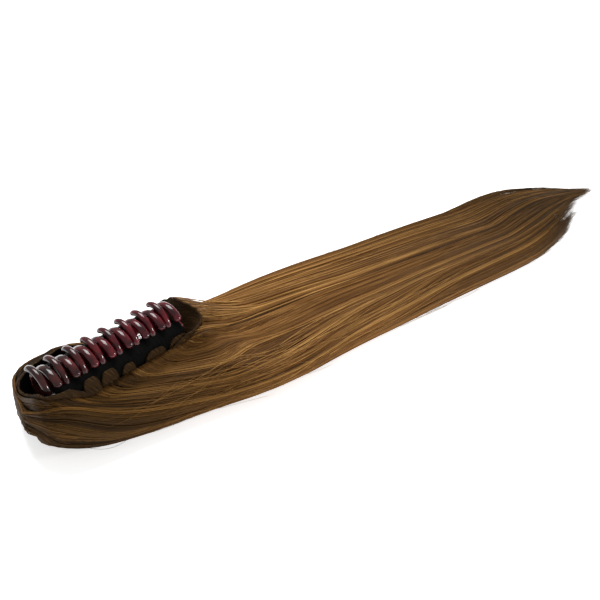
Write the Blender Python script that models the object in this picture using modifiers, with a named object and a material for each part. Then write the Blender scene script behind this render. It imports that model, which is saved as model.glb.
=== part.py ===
"""Claw-clip ponytail hairpiece, lying on its hair with the clip's teeth up.

X runs along the clip towards the tips of the hair, Y across it, Z up. The origin is on the surface
that the hair rests on, under the middle of the clip. Lengths are metres. MM turns the tables'
millimetres into metres.
"""

import math

import bmesh
import bpy
import numpy as np
from mathutils import Vector

MM = 0.001
GAP = 0.3 * MM

# The claw: two jaws whose teeth pass between each other over the top
CLAW_LENGTH = 104 * MM
TEETH_PER_JAW = 8
TOOTH_PITCH = 13.2 * MM
TOOTH_WIDTH = 5.0 * MM
# How far the far plate runs on past its left tooth, so that the jaw clears the weft as it opens
FAR_PLATE_MARGIN = 2.2 * MM
BELLY_Z = 42 * MM
BELLY_RADIUS = 15.5 * MM
JAW_WALL = 2.2 * MM
TOOTH_TIP_ANGLE = 46
TOOTH_ROOT_ANGLE = 163
JAW_LOW_ANGLE = 214

# The hinge under the jaws
HINGE_Z = 25 * MM
PIN_RADIUS = 1.2 * MM
PIN_HEAD_RADIUS = 2.3 * MM
PIN_HEAD_LENGTH = 1.5 * MM
SPRING_RADIUS = 2.6 * MM
SPRING_LENGTH = 46 * MM
KNUCKLE_RADIUS = 2.8 * MM
KNUCKLE_LENGTH = 10 * MM
NEAR_KNUCKLE_X = 41 * MM
FAR_KNUCKLE_X = 30.4 * MM
WAIST_Y = 3.8 * MM
WAIST_Z = 25.8 * MM
HANDLE_HALF_LENGTH = 31 * MM

# Net and weft sewn round the claw
NET_WALL = 1.0 * MM
NET_HALF_LENGTH = 44.5 * MM
NET_RADIUS = BELLY_RADIUS + GAP + NET_WALL / 2
WEFT_WALL = 1.5 * MM
WEFT_LEAN_RADIUS = BELLY_RADIUS + 3.8 * MM

# Hair
LOCKS_ACROSS = 9
LOCK_DEPTH = 1.5 * MM

# One row per handle station, from the waist to the finger end, in mm
HANDLE_PROFILE = [
    # (distance from the middle, height)
    (4.2, 25.3),
    (8.0, 20.8),
    (11.8, 17.6),
    (15.2, 16.0),
]

# One row per section across the hair, in mm. floor is the height of the underside, near_foot is where
# the near side leaves it, near and far are the widest places, the rims are the top edges of the two
# sides, and the crown is the top between them.
HAIR_SECTIONS = [
    # (x, floor, near_foot, near, near_rim_y, near_rim_z, crown_y, crown_z, far_rim_y, far_rim_z, far)
    (-63.5, 15.0, -8.0, -12.0, -8.0, 26.0, -4, 28.0, 1.0, 26.0, 4),
    (-62.0, 9.0, -7.0, -17.0, -11.0, 34.0, -3, 34.5, 6.0, 31.0, 10),
    (-59.5, 3.5, -5.0, -21.0, -15.5, 41.0, -3, 39.5, 13.0, 35.5, 18),
    (-55.0, 0.0, -6.0, -26.0, -20.5, 45.5, -2, 41.0, 24.0, 34.5, 28.5),
    (-48.0, 0.0, -14.0, -31.0, -22.4, 45.0, 0, 41.0, 33.5, 34.5, 37.5),
    (-40.0, 0.0, -20.5, -35.5, -22.6, 42.0, 0, 39.0, 39.2, 34.5, 41.8),
    (-28.0, 0.0, -28.0, -40.5, -22.8, 35.0, 0, 37.0, 40.6, 34.5, 43.4),
    (-12.0, 0.0, -35.0, -45.5, -22.8, 31.0, 0, 35.0, 40.6, 34.0, 43.5),
    (2.0, 0.0, -40.0, -49.5, -22.8, 30.0, 0, 32.0, 40.6, 28.0, 43.5),
    (16.0, 0.0, -44.5, -53.0, -22.8, 29.5, 0, 30.0, 40.6, 22.5, 43.5),
    (30.0, 0.0, -49.0, -57.0, -22.8, 29.5, 0, 30.0, 40.4, 18.0, 43.2),
    (44.0, 0.0, -54.0, -61.5, -23.0, 30.0, 2, 32.0, 40.0, 16.0, 42.8),
    (54.0, 0.0, -58.0, -64.5, -23.5, 32.0, 2, 37.0, 38.0, 17.0, 41.8),
    (61.0, 0.0, -61.0, -67.0, -24.5, 33.5, -3, 41.0, 34.0, 20.0, 41),
    (67.0, 0.0, -63.0, -69.0, -27.0, 33.0, -6, 41.0, 30.0, 22.0, 40.2),
    (74.0, 0.0, -65.5, -71.0, -31.0, 29.5, -5, 36.0, 26.0, 23.0, 39.3),
    (84.0, 0.0, -68.5, -73.3, -37.0, 25.5, -2, 29.5, 25.0, 20.0, 38.3),
    (98.0, 0.0, -72.0, -75.8, -44.0, 22.5, -3, 25.5, 24.0, 17.5, 36.8),
    (120.0, 0.0, -75.5, -78.5, -50.0, 20.0, -9, 23.0, 19.0, 16.0, 34),
    (155.0, 0.0, -79.5, -81.5, -56.0, 17.8, -18, 21.0, 14.0, 15.0, 31.3),
    (200.0, 0.0, -87.0, -89.0, -64.0, 15.5, -30, 19.0, 6.0, 13.5, 23.5),
    (245.0, 0.0, -94.0, -96.0, -72.0, 14.0, -40, 17.5, -4.0, 12.5, 12.5),
    (290.0, 0.0, -102.0, -104.0, -80.0, 12.5, -50, 16.0, -13.0, 11.5, 3.5),
    (335.0, 0.0, -110.0, -112.0, -88.0, 11.0, -60, 14.0, -23.0, 10.0, -6),
    (365.0, 0.0, -113.0, -115.0, -92.0, 9.5, -66, 12.5, -30.0, 9.0, -13),
    (395.0, 0.0, -110.5, -112.0, -92.0, 8.0, -68, 11.0, -37.0, 7.5, -21),
    (422.0, 0.0, -106.0, -107.0, -91.0, 6.5, -72, 9.0, -47.0, 6.0, -32),
    (445.0, 0.0, -101.5, -102.5, -90.0, 5.2, -77, 7.0, -60.0, 5.0, -47),
    (462.0, 0.0, -97.5, -98.5, -90.0, 4.2, -82, 5.4, -71.0, 4.2, -63),
]
NEAR_FLANK_POINTS = 10
TOP_POINTS = 24
FAR_FLANK_POINTS = 7
BOTTOM_POINTS = 6

# The two sides of the hair from the floor up, as shares of the way from the widest place to the foot
# and to the rim, and of the side's height
NEAR_SIDE = [
    # (to_foot, to_rim, height)
    (1.0, 0.0, 0.0),
    (0.27, 0.0, 0.13),
    (0.0, 0.0, 0.38),
    (0.0, 0.34, 0.79),
    (0.0, 1.0, 1.0),
]
FAR_SIDE = [
    # (to_foot, to_rim, height)
    (1.0, 0.0, 0.0),
    (0.0, 0.0, 0.35),
    (0.0, 0.3, 0.75),
    (0.0, 1.0, 1.0),
]
FAR_FOOT_SHARE = 0.3
FAR_FOOT_INSET = 1.0
SHOULDER_HEIGHT = 0.72
FULL_RELIEF_HEIGHT = 20.0

# The crease where the near side's hair meets the far side's behind the claw, in mm
PARTING_START = (66.0, -19.0)
PARTING_END = (175.0, -46.0)
PARTING_WIDTH = 4.5
PARTING_DEPTH = 4.0

# One row per height of the well that the claw stands in, in mm
WELL_RINGS = [
    # (z, near, far, left, right)
    (5.0, -15.5, 31.0, -51.0, 55.0),
    (10.0, -18.5, 35.0, -54.5, 58.0),
    (18.0, -20.4, 38.2, -57.5, 60.5),
    (30.0, -20.8, 39.0, -58.6, 61.5),
    (40.0, -21.0, 39.2, -58.8, 63.5),
    (48.0, -21.2, 39.4, -58.9, 66.0),
    (62.0, -21.4, 39.6, -59.0, 68.0),
]
WELL_RING_POINTS = 64
WELL_FLOOR_Z = 5.0
BELOW_FLOOR_Z = -1.0
# How square each corner of the well is in plan: 2 is an ellipse
WELL_CORNERS = {
    # (towards the tips, towards the far side): exponent
    (True, True): 3.4,
    (False, True): 2.7,
    (False, False): 8.0,
    (True, False): 6.0,
}

# The weft's top and low edge round the well, in degrees from the tail end and mm.
# 90 is the middle of the far side and 270 the middle of the near side.
WEFT_EDGE = [
    # (turn, top_z, low_z)
    (0, 51.5, 33.0),
    (12, 49.5, 32.0),
    (26, 43.0, 30.0),
    (40, 31.0, 22.0),
    (54, 20.5, 13.5),
    (65, 19.5, 13.5),
    (77, 24.0, 15.0),
    (90, 29.5, 18.0),
    (104, 35.5, 22.0),
    (120, 36.0, 23.0),
    (160, 36.5, 24.0),
    (180, 39.5, 26.0),
    (198, 44.5, 30.0),
    (212, 50.5, 33.0),
    (228, 51.0, 32.0),
    (234, 49.0, 31.0),
    (240, 43.0, 29.0),
    (244, 36.0, 26.0),
    (252, 33.5, 26.0),
    (270, 33.0, 25.0),
    (300, 33.0, 25.0),
    (308, 35.0, 27.0),
    (318, 40.0, 29.0),
    (332, 46.5, 31.0),
    (346, 51.0, 33.0),
]
WEFT_STATIONS = 104
WEFT_ROWS = 3
WEFT_INSET = WEFT_WALL / 2 + GAP + 0.35 * MM

# One row per tab of the weft's scalloped edge on the near side, in mm
WEFT_TABS = [
    # (name, middle_x, half_width, low_z, peak_z)
    ("weft_tab_1", -22.8, 5.6, 36.6, 46.0),
    ("weft_tab_2", -10.6, 6.0, 33.4, 44.5),
    ("weft_tab_3", 3.0, 5.2, 32.4, 43.0),
    ("weft_tab_4", 23.5, 8.6, 32.0, 43.0),
    ("weft_tab_5", 41.6, 8.6, 32.6, 44.0),
]
TAB_REACH = 6.0
TAB_RADIUS = BELLY_RADIUS + 2.6 * MM
TAB_FLARE = 5.0 * MM
TAB_WALL = 1.1 * MM
TAB_COLUMNS = 10
TAB_ROWS = 4

# Where the hair's solids part, in mm: the tail from the walls, and the near wall from the far one
TAIL_START_X = 67.0
WALL_SPLIT_Y = -4.0
HAIR_REACH = 150.0

# One row per free lock at the tips of the hair, in mm
TIP_LOCKS = [
    # (root_x, root_y, tip_x, tip_y, width, height)
    (345.0, -105.0, 396.0, -115.8, 9.0, 6.0),
    (372.0, -104.0, 420.0, -111.8, 10.0, 6.0),
    (394.0, -101.0, 440.0, -107.0, 10.0, 6.0),
    (412.0, -97.0, 458.0, -102.5, 10.0, 5.6),
    (425.0, -92.0, 475.0, -97.0, 10.0, 5.2),
    (434.0, -87.0, 489.0, -93.0, 9.0, 5.0),
    (440.0, -81.0, 498.0, -88.5, 9.0, 5.0),
    (436.0, -73.0, 492.0, -79.5, 10.0, 5.4),
    (428.0, -65.0, 484.0, -69.5, 11.0, 6.0),
    (418.0, -57.0, 474.0, -57.0, 11.0, 6.6),
    (405.0, -48.0, 461.0, -45.5, 11.0, 7.2),
    (390.0, -39.0, 446.0, -34.5, 11.0, 7.6),
    (370.0, -30.0, 424.0, -24.5, 11.0, 8.0),
]
LOCK_SIDES = 8
LOCK_STEPS = 5
LOCK_NARROWING = 0.86
LOCK_THINNING = 0.8
LOCK_FLOOR = 0.12


def clear_scene():
    """Empty the scene that the script is run in."""
    for found in list(bpy.data.objects):
        bpy.data.objects.remove(found, do_unlink=True)


def new_collection(name):
    """Add a collection to the scene."""
    collection = bpy.data.collections.new(name)
    bpy.context.scene.collection.children.link(collection)
    return collection


def new_material(name, colour, roughness, metallic=0.0):
    """A Principled material with one colour."""
    material = bpy.data.materials.new(name)
    material.use_nodes = True
    shader = material.node_tree.nodes["Principled BSDF"]
    shader.inputs["Base Color"].default_value = (*colour, 1.0)
    shader.inputs["Roughness"].default_value = roughness
    shader.inputs["Metallic"].default_value = metallic
    return material


def object_from_bmesh(name, shape, collection, material=None):
    """Put a bmesh into a new object."""
    mesh = bpy.data.meshes.new(name)
    shape.to_mesh(mesh)
    shape.free()
    made = bpy.data.objects.new(name, mesh)
    if material:
        mesh.materials.append(material)
    collection.objects.link(made)
    return made


def shade_round(made, angle=40):
    """Smooth shading that keeps the sharp edges."""
    made.data.shade_smooth()
    made.data.set_sharp_from_angle(angle=math.radians(angle))


def as_cutter(made):
    """Mark an object as a shape that only cuts or joins another."""
    made.hide_render = True
    made.display_type = "WIRE"


def boolean(made, other, operation):
    """Join another object to this one, or cut it away."""
    as_cutter(other)
    modifier = made.modifiers.new(other.name, "BOOLEAN")
    modifier.operation = operation
    modifier.solver = "EXACT"
    modifier.object = other


def thicken(made, wall):
    """Give an open surface a wall, half on each side of it."""
    modifier = made.modifiers.new("wall", "SOLIDIFY")
    modifier.thickness = wall
    modifier.offset = 0.0
    modifier.use_even_offset = True


def ease_edges(made, width, angle=50):
    """Round the sharp edges by one narrow bevel."""
    modifier = made.modifiers.new("edges", "BEVEL")
    modifier.width = width
    modifier.segments = 1
    modifier.limit_method = "ANGLE"
    modifier.angle_limit = math.radians(angle)


def catmull_rom(before, start, end, after, t):
    """A point between start and end on a smooth curve through all four."""
    return tuple(
        0.5 * (2 * b + (c - a) * t + (2 * a - 5 * b + 4 * c - d) * t**2 + (3 * b - a - 3 * c + d) * t**3)
        for a, b, c, d in zip(before, start, end, after)
    )


def smooth_line(controls, count):
    """An even number of points on a smooth open curve, the last one left out."""
    last = len(controls) - 1
    line = []
    for index in range(count):
        place = last * index / count
        start = int(place)
        before = controls[max(start - 1, 0)]
        after = controls[min(start + 2, last)]
        line.append(catmull_rom(before, controls[start], controls[start + 1], after, place - start))
    return line


def surface_grid(columns, rows, place):
    """A grid whose vertex in each column and row is moved to place(column, row)."""
    shape = bmesh.new()
    bmesh.ops.create_grid(shape, x_segments=columns, y_segments=rows, size=1.0)
    cells = {}
    for vertex in shape.verts:
        column = round((vertex.co.x + 1) / 2 * columns)
        row = round((vertex.co.y + 1) / 2 * rows)
        cells[vertex] = (column, row)
    for vertex, (column, row) in cells.items():
        vertex.co = place(column, row)
    return shape, cells


def loft(rings):
    """A closed solid through rings of equal length, with flat ends."""
    shape = bmesh.new()
    loops = [[shape.verts.new(point) for point in ring] for ring in rings]
    count = len(rings[0])
    for lower, upper in zip(loops, loops[1:]):
        for index in range(count):
            following = (index + 1) % count
            shape.faces.new((lower[index], lower[following], upper[following], upper[index]))
    shape.faces.new(loops[0])
    shape.faces.new(loops[-1])
    bmesh.ops.recalc_face_normals(shape, faces=shape.faces)
    return shape


def belly_point(side, radius, angle):
    """A place round the belly of one jaw. The angle runs from the other jaw's side over the top."""
    turn = math.radians(angle)
    return side * radius * -math.cos(turn), BELLY_Z + radius * math.sin(turn)


def jaw_profile(side):
    """The middle of a jaw's wall from the tooth tip down to the waist, with the row of the tooth root."""
    radius = BELLY_RADIUS - JAW_WALL / 2
    tooth_steps = 7
    belly_steps = 5
    angles = [
        TOOTH_TIP_ANGLE + (TOOTH_ROOT_ANGLE - TOOTH_TIP_ANGLE) * step / tooth_steps
        for step in range(tooth_steps)
    ]
    angles += [
        TOOTH_ROOT_ANGLE + (JAW_LOW_ANGLE - TOOTH_ROOT_ANGLE) * step / belly_steps
        for step in range(belly_steps + 1)
    ]
    profile = [belly_point(side, radius, angle) for angle in angles]
    profile.append((side * WAIST_Y, WAIST_Z))
    return profile, tooth_steps


def tooth_centres(side):
    """Where the teeth of one jaw stand. The two jaws' teeth are half a pitch apart."""
    half_row = TOOTH_PITCH * (TEETH_PER_JAW - 0.5) / 2
    shift = 0 if side < 0 else TOOTH_PITCH / 2
    return [-half_row + shift + TOOTH_PITCH * index for index in range(TEETH_PER_JAW)]


def jaw_columns(side):
    """The X places of the jaw's grid, and which columns between them are teeth."""
    ends = []
    for centre in tooth_centres(side):
        ends += [centre - TOOTH_WIDTH / 2, centre + TOOTH_WIDTH / 2]
    if side < 0:
        return ends + [CLAW_LENGTH / 2], [index for index in range(0, 2 * TEETH_PER_JAW, 2)]
    return [ends[0] - FAR_PLATE_MARGIN] + ends, [index for index in range(1, 2 * TEETH_PER_JAW + 1, 2)]


def jaw_shell(name, side, collection, material):
    """The curved plate of one jaw with its comb of teeth."""
    profile, root_row = jaw_profile(side)
    places, tooth_columns = jaw_columns(side)

    def place(column, row):
        y, z = profile[row]
        x = places[column]
        if row == 0:
            # the tooth narrows to a round tip
            centre = min(tooth_centres(side), key=lambda middle: abs(middle - x))
            x = centre + (x - centre) * 0.45
        return x, y, z

    shape, cells = surface_grid(len(places) - 1, len(profile) - 1, place)
    gaps = []
    for face in shape.faces:
        column = min(cells[vertex][0] for vertex in face.verts)
        row = min(cells[vertex][1] for vertex in face.verts)
        if row < root_row and column not in tooth_columns:
            gaps.append(face)
    bmesh.ops.delete(shape, geom=gaps, context="FACES")
    bmesh.ops.recalc_face_normals(shape, faces=shape.faces)
    jaw = object_from_bmesh(name, shape, collection, material)
    thicken(jaw, JAW_WALL)
    ease_edges(jaw, 0.45 * MM)
    return jaw


def jaw_handle(name, side, collection):
    """The finger plate that flares out under one jaw."""
    columns = 4
    rows = len(HANDLE_PROFILE) - 1

    def place(column, row):
        y, z = HANDLE_PROFILE[row]
        x = HANDLE_HALF_LENGTH * (2 * column / columns - 1)
        narrow = 0.88 if row == rows else 1.0
        return x * narrow, side * y * MM, z * MM

    shape, _ = surface_grid(columns, rows, place)
    handle = object_from_bmesh(name, shape, collection)
    thicken(handle, JAW_WALL)
    return handle


def rod(name, radius, low_x, high_x, sides, collection):
    """A round bar along the hinge's axis."""
    shape = bmesh.new()
    bmesh.ops.create_cone(
        shape, cap_ends=True, segments=sides, radius1=radius, radius2=radius, depth=high_x - low_x
    )
    for vertex in shape.verts:
        x, y, z = vertex.co
        vertex.co = ((low_x + high_x) / 2 + z, y, HINGE_Z - x)
    bmesh.ops.recalc_face_normals(shape, faces=shape.faces)
    return object_from_bmesh(name, shape, collection)


def block(name, low, high, collection):
    """A box between two corners."""
    shape = bmesh.new()
    bmesh.ops.create_cube(shape, size=1.0)
    middle = (Vector(low) + Vector(high)) / 2
    size = Vector(high) - Vector(low)
    for vertex in shape.verts:
        vertex.co = middle + Vector(a * b for a, b in zip(vertex.co, size))
    return object_from_bmesh(name, shape, collection)


def make_jaw(name, side, knuckle_x, parts, cutters, material):
    """One jaw: toothed plate, handle and two hinge knuckles, bored for the pin."""
    jaw = jaw_shell(name, side, parts, material)
    boolean(jaw, jaw_handle(name + "_handle", side, cutters), "UNION")
    lug_inner = side * (WAIST_Y + 1.6 * MM)
    for end in (-1, 1):
        low_x = end * knuckle_x - KNUCKLE_LENGTH / 2
        high_x = end * knuckle_x + KNUCKLE_LENGTH / 2
        label = f"{name}_{'left' if end < 0 else 'right'}"
        lug = block(
            label + "_lug",
            (low_x + 0.2 * MM, min(0, lug_inner), HINGE_Z - 1.5 * MM),
            (high_x - 0.2 * MM, max(0, lug_inner), HINGE_Z + 1.1 * MM),
            cutters,
        )
        boolean(jaw, lug, "UNION")
        boolean(jaw, rod(label + "_knuckle", KNUCKLE_RADIUS, low_x, high_x, 16, cutters), "UNION")
    bore = rod(name + "_bore", PIN_RADIUS + GAP, -CLAW_LENGTH, CLAW_LENGTH, 16, cutters)
    boolean(jaw, bore, "DIFFERENCE")
    shade_round(jaw)
    return jaw


def make_hinge_pin(parts, cutters, material):
    """The pin with its two heads and the torsion spring's plain barrel on it."""
    head_x = NEAR_KNUCKLE_X + KNUCKLE_LENGTH / 2 + GAP
    end_x = head_x + PIN_HEAD_LENGTH
    pin = rod("hinge_pin", PIN_RADIUS, -end_x + GAP, end_x - GAP, 12, parts)
    pin.data.materials.append(material)
    boolean(pin, rod("pin_head_left", PIN_HEAD_RADIUS, -end_x, -head_x, 12, cutters), "UNION")
    boolean(pin, rod("pin_head_right", PIN_HEAD_RADIUS, head_x, end_x, 12, cutters), "UNION")
    spring = rod("spring_barrel", SPRING_RADIUS, -SPRING_LENGTH / 2, SPRING_LENGTH / 2, 16, cutters)
    boolean(pin, spring, "UNION")
    shade_round(pin)
    return pin


def make_net(name, side, low_places, parts, material):
    """Net sewn over the outside of one jaw, from under the teeth downwards."""
    columns = 14
    top_angle = TOOTH_ROOT_ANGLE + 1
    arc_steps = 4
    profile = []
    for step in range(arc_steps + 1):
        angle = top_angle + (182 - top_angle) * step / arc_steps
        profile.append(belly_point(side, NET_RADIUS, angle))
    profile += [(side * y * MM, z * MM) for y, z in low_places]

    def place(column, row):
        y, z = profile[row]
        return NET_HALF_LENGTH * (2 * column / columns - 1), y, z

    shape, _ = surface_grid(columns, len(profile) - 1, place)
    net = object_from_bmesh(name, shape, parts, material)
    thicken(net, NET_WALL)
    shade_round(net)
    return net


def well_point(z, turn, inset=0.0):
    """A place on the well's wall in plan, in mm, at a height and an angle in radians."""
    heights = [row[0] for row in WELL_RINGS]
    near, far, left, right = (np.interp(z, heights, side) for side in list(zip(*WELL_RINGS))[1:])
    power = WELL_CORNERS[(math.cos(turn) > 0, math.sin(turn) > 0)]
    reach = (abs(math.cos(turn)) ** power + abs(math.sin(turn)) ** power) ** (-1 / power)
    x = (left + right) / 2 + ((right - left) / 2 - inset) * reach * math.cos(turn)
    y = (near + far) / 2 + ((far - near) / 2 - inset) * reach * math.sin(turn)
    return x, y


def well_ring(z, inset=0.0):
    """One level of the well, as a ring of points."""
    ring = []
    for index in range(WELL_RING_POINTS):
        x, y = well_point(z, 2 * math.pi * (index + 0.5) / WELL_RING_POINTS, inset)
        ring.append((x * MM, y * MM, z * MM))
    return ring


def weft_point(turn, z):
    """The middle of the weft at one place round the well, leaning in over the jaw where it is high."""
    x, y = well_point(z / MM, turn, WEFT_INSET / MM)
    over_belly = WEFT_LEAN_RADIUS**2 - max(0.0, z - BELLY_Z) ** 2
    return x * MM, max(y * MM, -math.sqrt(over_belly)), z


def make_weft_band(parts, material):
    """The sewn weft that rims the well and stands up as an ear at the tail end."""
    turns, tops, lows = zip(*WEFT_EDGE)
    shape = bmesh.new()
    loops = []
    for row in range(WEFT_ROWS + 1):
        loop = []
        for station in range(WEFT_STATIONS):
            turn = 360 * station / WEFT_STATIONS
            top = np.interp(turn, turns, tops, period=360)
            low = np.interp(turn, turns, lows, period=360)
            z = (low + (top - low) * row / WEFT_ROWS) * MM
            loop.append(shape.verts.new(weft_point(math.radians(turn), z)))
        loops.append(loop)
    for lower, upper in zip(loops, loops[1:]):
        for index in range(WEFT_STATIONS):
            following = (index + 1) % WEFT_STATIONS
            shape.faces.new((lower[index], lower[following], upper[following], upper[index]))
    band = object_from_bmesh("weft_band", shape, parts, material)
    thicken(band, WEFT_WALL)
    shade_round(band, 60)
    return band


def make_weft_tab(row, parts, material):
    """A rounded tab of the weft, lying over the net's low edge and flaring out over the hair."""
    name, middle_x, half_width, low_z, peak_z = row

    def place(column, level):
        across = 2 * column / TAB_COLUMNS - 1
        height = level / TAB_ROWS
        crest = 0.22 + 0.78 * math.sqrt(max(0.0, 1 - across**4))
        z = low_z + (peak_z - low_z) * crest * height
        x = middle_x + half_width * across * (1 - 0.12 * height)
        lean = max(0.0, 1 - (z - low_z) / TAB_REACH)
        arc = math.sqrt(TAB_RADIUS**2 - max(0.0, z * MM - BELLY_Z) ** 2)
        return x * MM, -(arc + TAB_FLARE * lean**1.6), z * MM

    shape, _ = surface_grid(TAB_COLUMNS, TAB_ROWS, place)
    tab = object_from_bmesh(name, shape, parts, material)
    thicken(tab, TAB_WALL)
    shade_round(tab, 60)
    return tab


def lock_relief(share, x):
    """Rounded locks side by side with sharp creases between them, as a height in metres."""
    phase = 0.12 * math.sin(x / 70.0)
    wave = abs(math.sin(math.pi * (LOCKS_ACROSS * share + phase)))
    return LOCK_DEPTH * (wave - 1.0)


def parting_depth(x, y):
    """The crease where the near side's hair meets the far side's, in metres."""
    (start_x, start_y), (end_x, end_y) = PARTING_START, PARTING_END
    if not start_x < x < end_x:
        return 0.0
    along = (x - start_x) / (end_x - start_x)
    middle_y = start_y + (end_y - start_y) * along
    across = math.exp(-(((y - middle_y) / PARTING_WIDTH) ** 2))
    return PARTING_DEPTH * MM * math.sin(math.pi * along**0.6) * across


def side_face(foot, widest, rim_y, floor, rim_z, shape):
    """The points up one side of the hair, from the floor to the rim."""
    line = []
    for to_foot, to_rim, height in shape:
        y = widest + to_foot * (foot - widest) + to_rim * (rim_y - widest)
        line.append((y, floor + height * (rim_z - floor)))
    return line


def hair_ring(section):
    """The outline of the hair at one X, anticlockwise from the near floor corner over the top."""
    x, floor, near_foot, near, near_rim_y, near_rim_z, crown_y, crown_z, far_rim_y, far_rim_z, far = section
    far_foot = far - FAR_FOOT_SHARE * (far - far_rim_y) - FAR_FOOT_INSET
    near_flank = side_face(near_foot, near, near_rim_y, floor, near_rim_z, NEAR_SIDE)
    far_flank = side_face(far_foot, far, far_rim_y, floor, far_rim_z, FAR_SIDE)[::-1]
    top = [
        (near_rim_y, near_rim_z),
        ((near_rim_y + crown_y) / 2, near_rim_z + SHOULDER_HEIGHT * (crown_z - near_rim_z)),
        (crown_y, crown_z),
        ((far_rim_y + crown_y) / 2, far_rim_z + SHOULDER_HEIGHT * (crown_z - far_rim_z)),
        (far_rim_y, far_rim_z),
    ]
    outline = smooth_line(near_flank, NEAR_FLANK_POINTS)
    outline += smooth_line(top, TOP_POINTS)
    outline += smooth_line(far_flank, FAR_FLANK_POINTS)
    upper_count = len(outline)
    ring = []
    for index, (y, z) in enumerate(outline):
        share = index / upper_count
        outwards = Vector((y - (near + far) / 2, z * 1.5)).normalized()
        relief = lock_relief(share, x) if 0 < index else 0.0
        relief -= parting_depth(x, y)
        relief *= min(1.0, crown_z / FULL_RELIEF_HEIGHT)
        height = max(z * MM + outwards.y * relief, floor * MM)
        ring.append((x * MM, y * MM + outwards.x * relief, height))
    for index in range(BOTTOM_POINTS):
        share = index / BOTTOM_POINTS
        ring.append((x * MM, (far_foot + (near_foot - far_foot) * share) * MM, floor * MM))
    return ring


def tip_lock(name, row, collection):
    """A flat tapered lock that leaves the tail's end."""
    root_x, root_y, tip_x, tip_y, width, height = row
    rings = []
    for step in range(LOCK_STEPS + 1):
        along = step / LOCK_STEPS
        x = root_x + (tip_x - root_x) * along
        y = root_y + (tip_y - root_y) * along**1.3
        girth = 1.0 - LOCK_NARROWING * along**1.6
        half_height = height / 2 * (1.0 - LOCK_THINNING * along)
        ring = []
        for side in range(LOCK_SIDES):
            turn = 2 * math.pi * (side + 0.5) / LOCK_SIDES
            z = LOCK_FLOOR + half_height * (1.0 + 0.92 * math.sin(turn))
            ring.append((x * MM, (y + width / 2 * girth * math.cos(turn)) * MM, z * MM))
        rings.append(ring)
    return object_from_bmesh(name, loft(rings), collection)


def make_wall(name, low_y, high_y, well, parts, cutters, material):
    """The hair on one side of the claw, with the hollow cut away."""
    rings = [hair_ring(row) for row in HAIR_SECTIONS if row[0] <= TAIL_START_X]
    wall = object_from_bmesh(name, loft(rings), parts, material)
    boolean(wall, well, "DIFFERENCE")
    low = (-CLAW_LENGTH, low_y * MM, -CLAW_LENGTH)
    high = (TAIL_START_X * MM - GAP, high_y * MM, CLAW_LENGTH)
    boolean(wall, block(name + "_bounds", low, high, cutters), "INTERSECT")
    shade_round(wall, 50)
    return wall


def make_tail(parts, cutters, material):
    """The tail behind the claw, with the free locks at its tips."""
    rings = [hair_ring(row) for row in HAIR_SECTIONS if row[0] >= TAIL_START_X]
    tail = object_from_bmesh("hair_tail", loft(rings), parts, material)
    for index, row in enumerate(TIP_LOCKS):
        boolean(tail, tip_lock(f"tip_lock_{index + 1}", row, cutters), "UNION")
    shade_round(tail, 50)
    return tail


def make_hair(parts, cutters, material):
    """The hair: a wall on each side of the claw, a layer under it, and the tail behind it."""
    heights = [BELOW_FLOOR_Z] + [row[0] for row in WELL_RINGS]
    well = object_from_bmesh("claw_well", loft([well_ring(z) for z in heights]), cutters)
    gap = GAP / MM
    make_wall("hair_near_wall", -HAIR_REACH, WALL_SPLIT_Y - gap / 2, well, parts, cutters, material)
    make_wall("hair_far_wall", WALL_SPLIT_Y + gap / 2, HAIR_REACH, well, parts, cutters, material)
    rings = [well_ring(z, gap) for z in (0.0, WELL_FLOOR_Z - gap)]
    under_clip = object_from_bmesh("hair_under_clip", loft(rings), parts, material)
    shade_round(under_clip, 50)
    make_tail(parts, cutters, material)


def build():
    """Make every piece of the hairpiece."""
    clear_scene()
    parts = new_collection("ponytail_hairpiece")
    cutters = new_collection("cutters")
    claw_plastic = new_material("claw_plastic", (0.16, 0.02, 0.03), 0.2)
    steel = new_material("steel", (0.55, 0.55, 0.56), 0.35, 1.0)
    black_net = new_material("black_net", (0.008, 0.008, 0.008), 0.8)
    brown_weft = new_material("brown_weft", (0.05, 0.03, 0.018), 0.8)
    brown_hair = new_material("brown_hair", (0.16, 0.09, 0.04), 0.45)

    make_jaw("near_jaw", -1, NEAR_KNUCKLE_X, parts, cutters, claw_plastic)
    make_jaw("far_jaw", 1, FAR_KNUCKLE_X, parts, cutters, claw_plastic)
    make_hinge_pin(parts, cutters, steel)
    make_net("near_net", -1, [(16.8, 36.5), (17.1, 31.5)], parts, black_net)
    make_net("far_net", 1, [(15.6, 37.5)], parts, black_net)
    make_weft_band(parts, brown_weft)
    for row in WEFT_TABS:
        make_weft_tab(row, parts, brown_weft)
    make_hair(parts, cutters, brown_hair)


build()
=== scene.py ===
"""The looks of a claw-clip ponytail hairpiece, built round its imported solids.

It lies on its hair with the clip's teeth up. X runs along the clip towards the tips of the hair,
Y across it, Z up, and the origin is on the surface under the middle of the clip. Sizes and places
in the tables are millimetres, and MM turns them into metres.
"""

import math

import bpy
import numpy as np
from mathutils import Matrix, Vector


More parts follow.
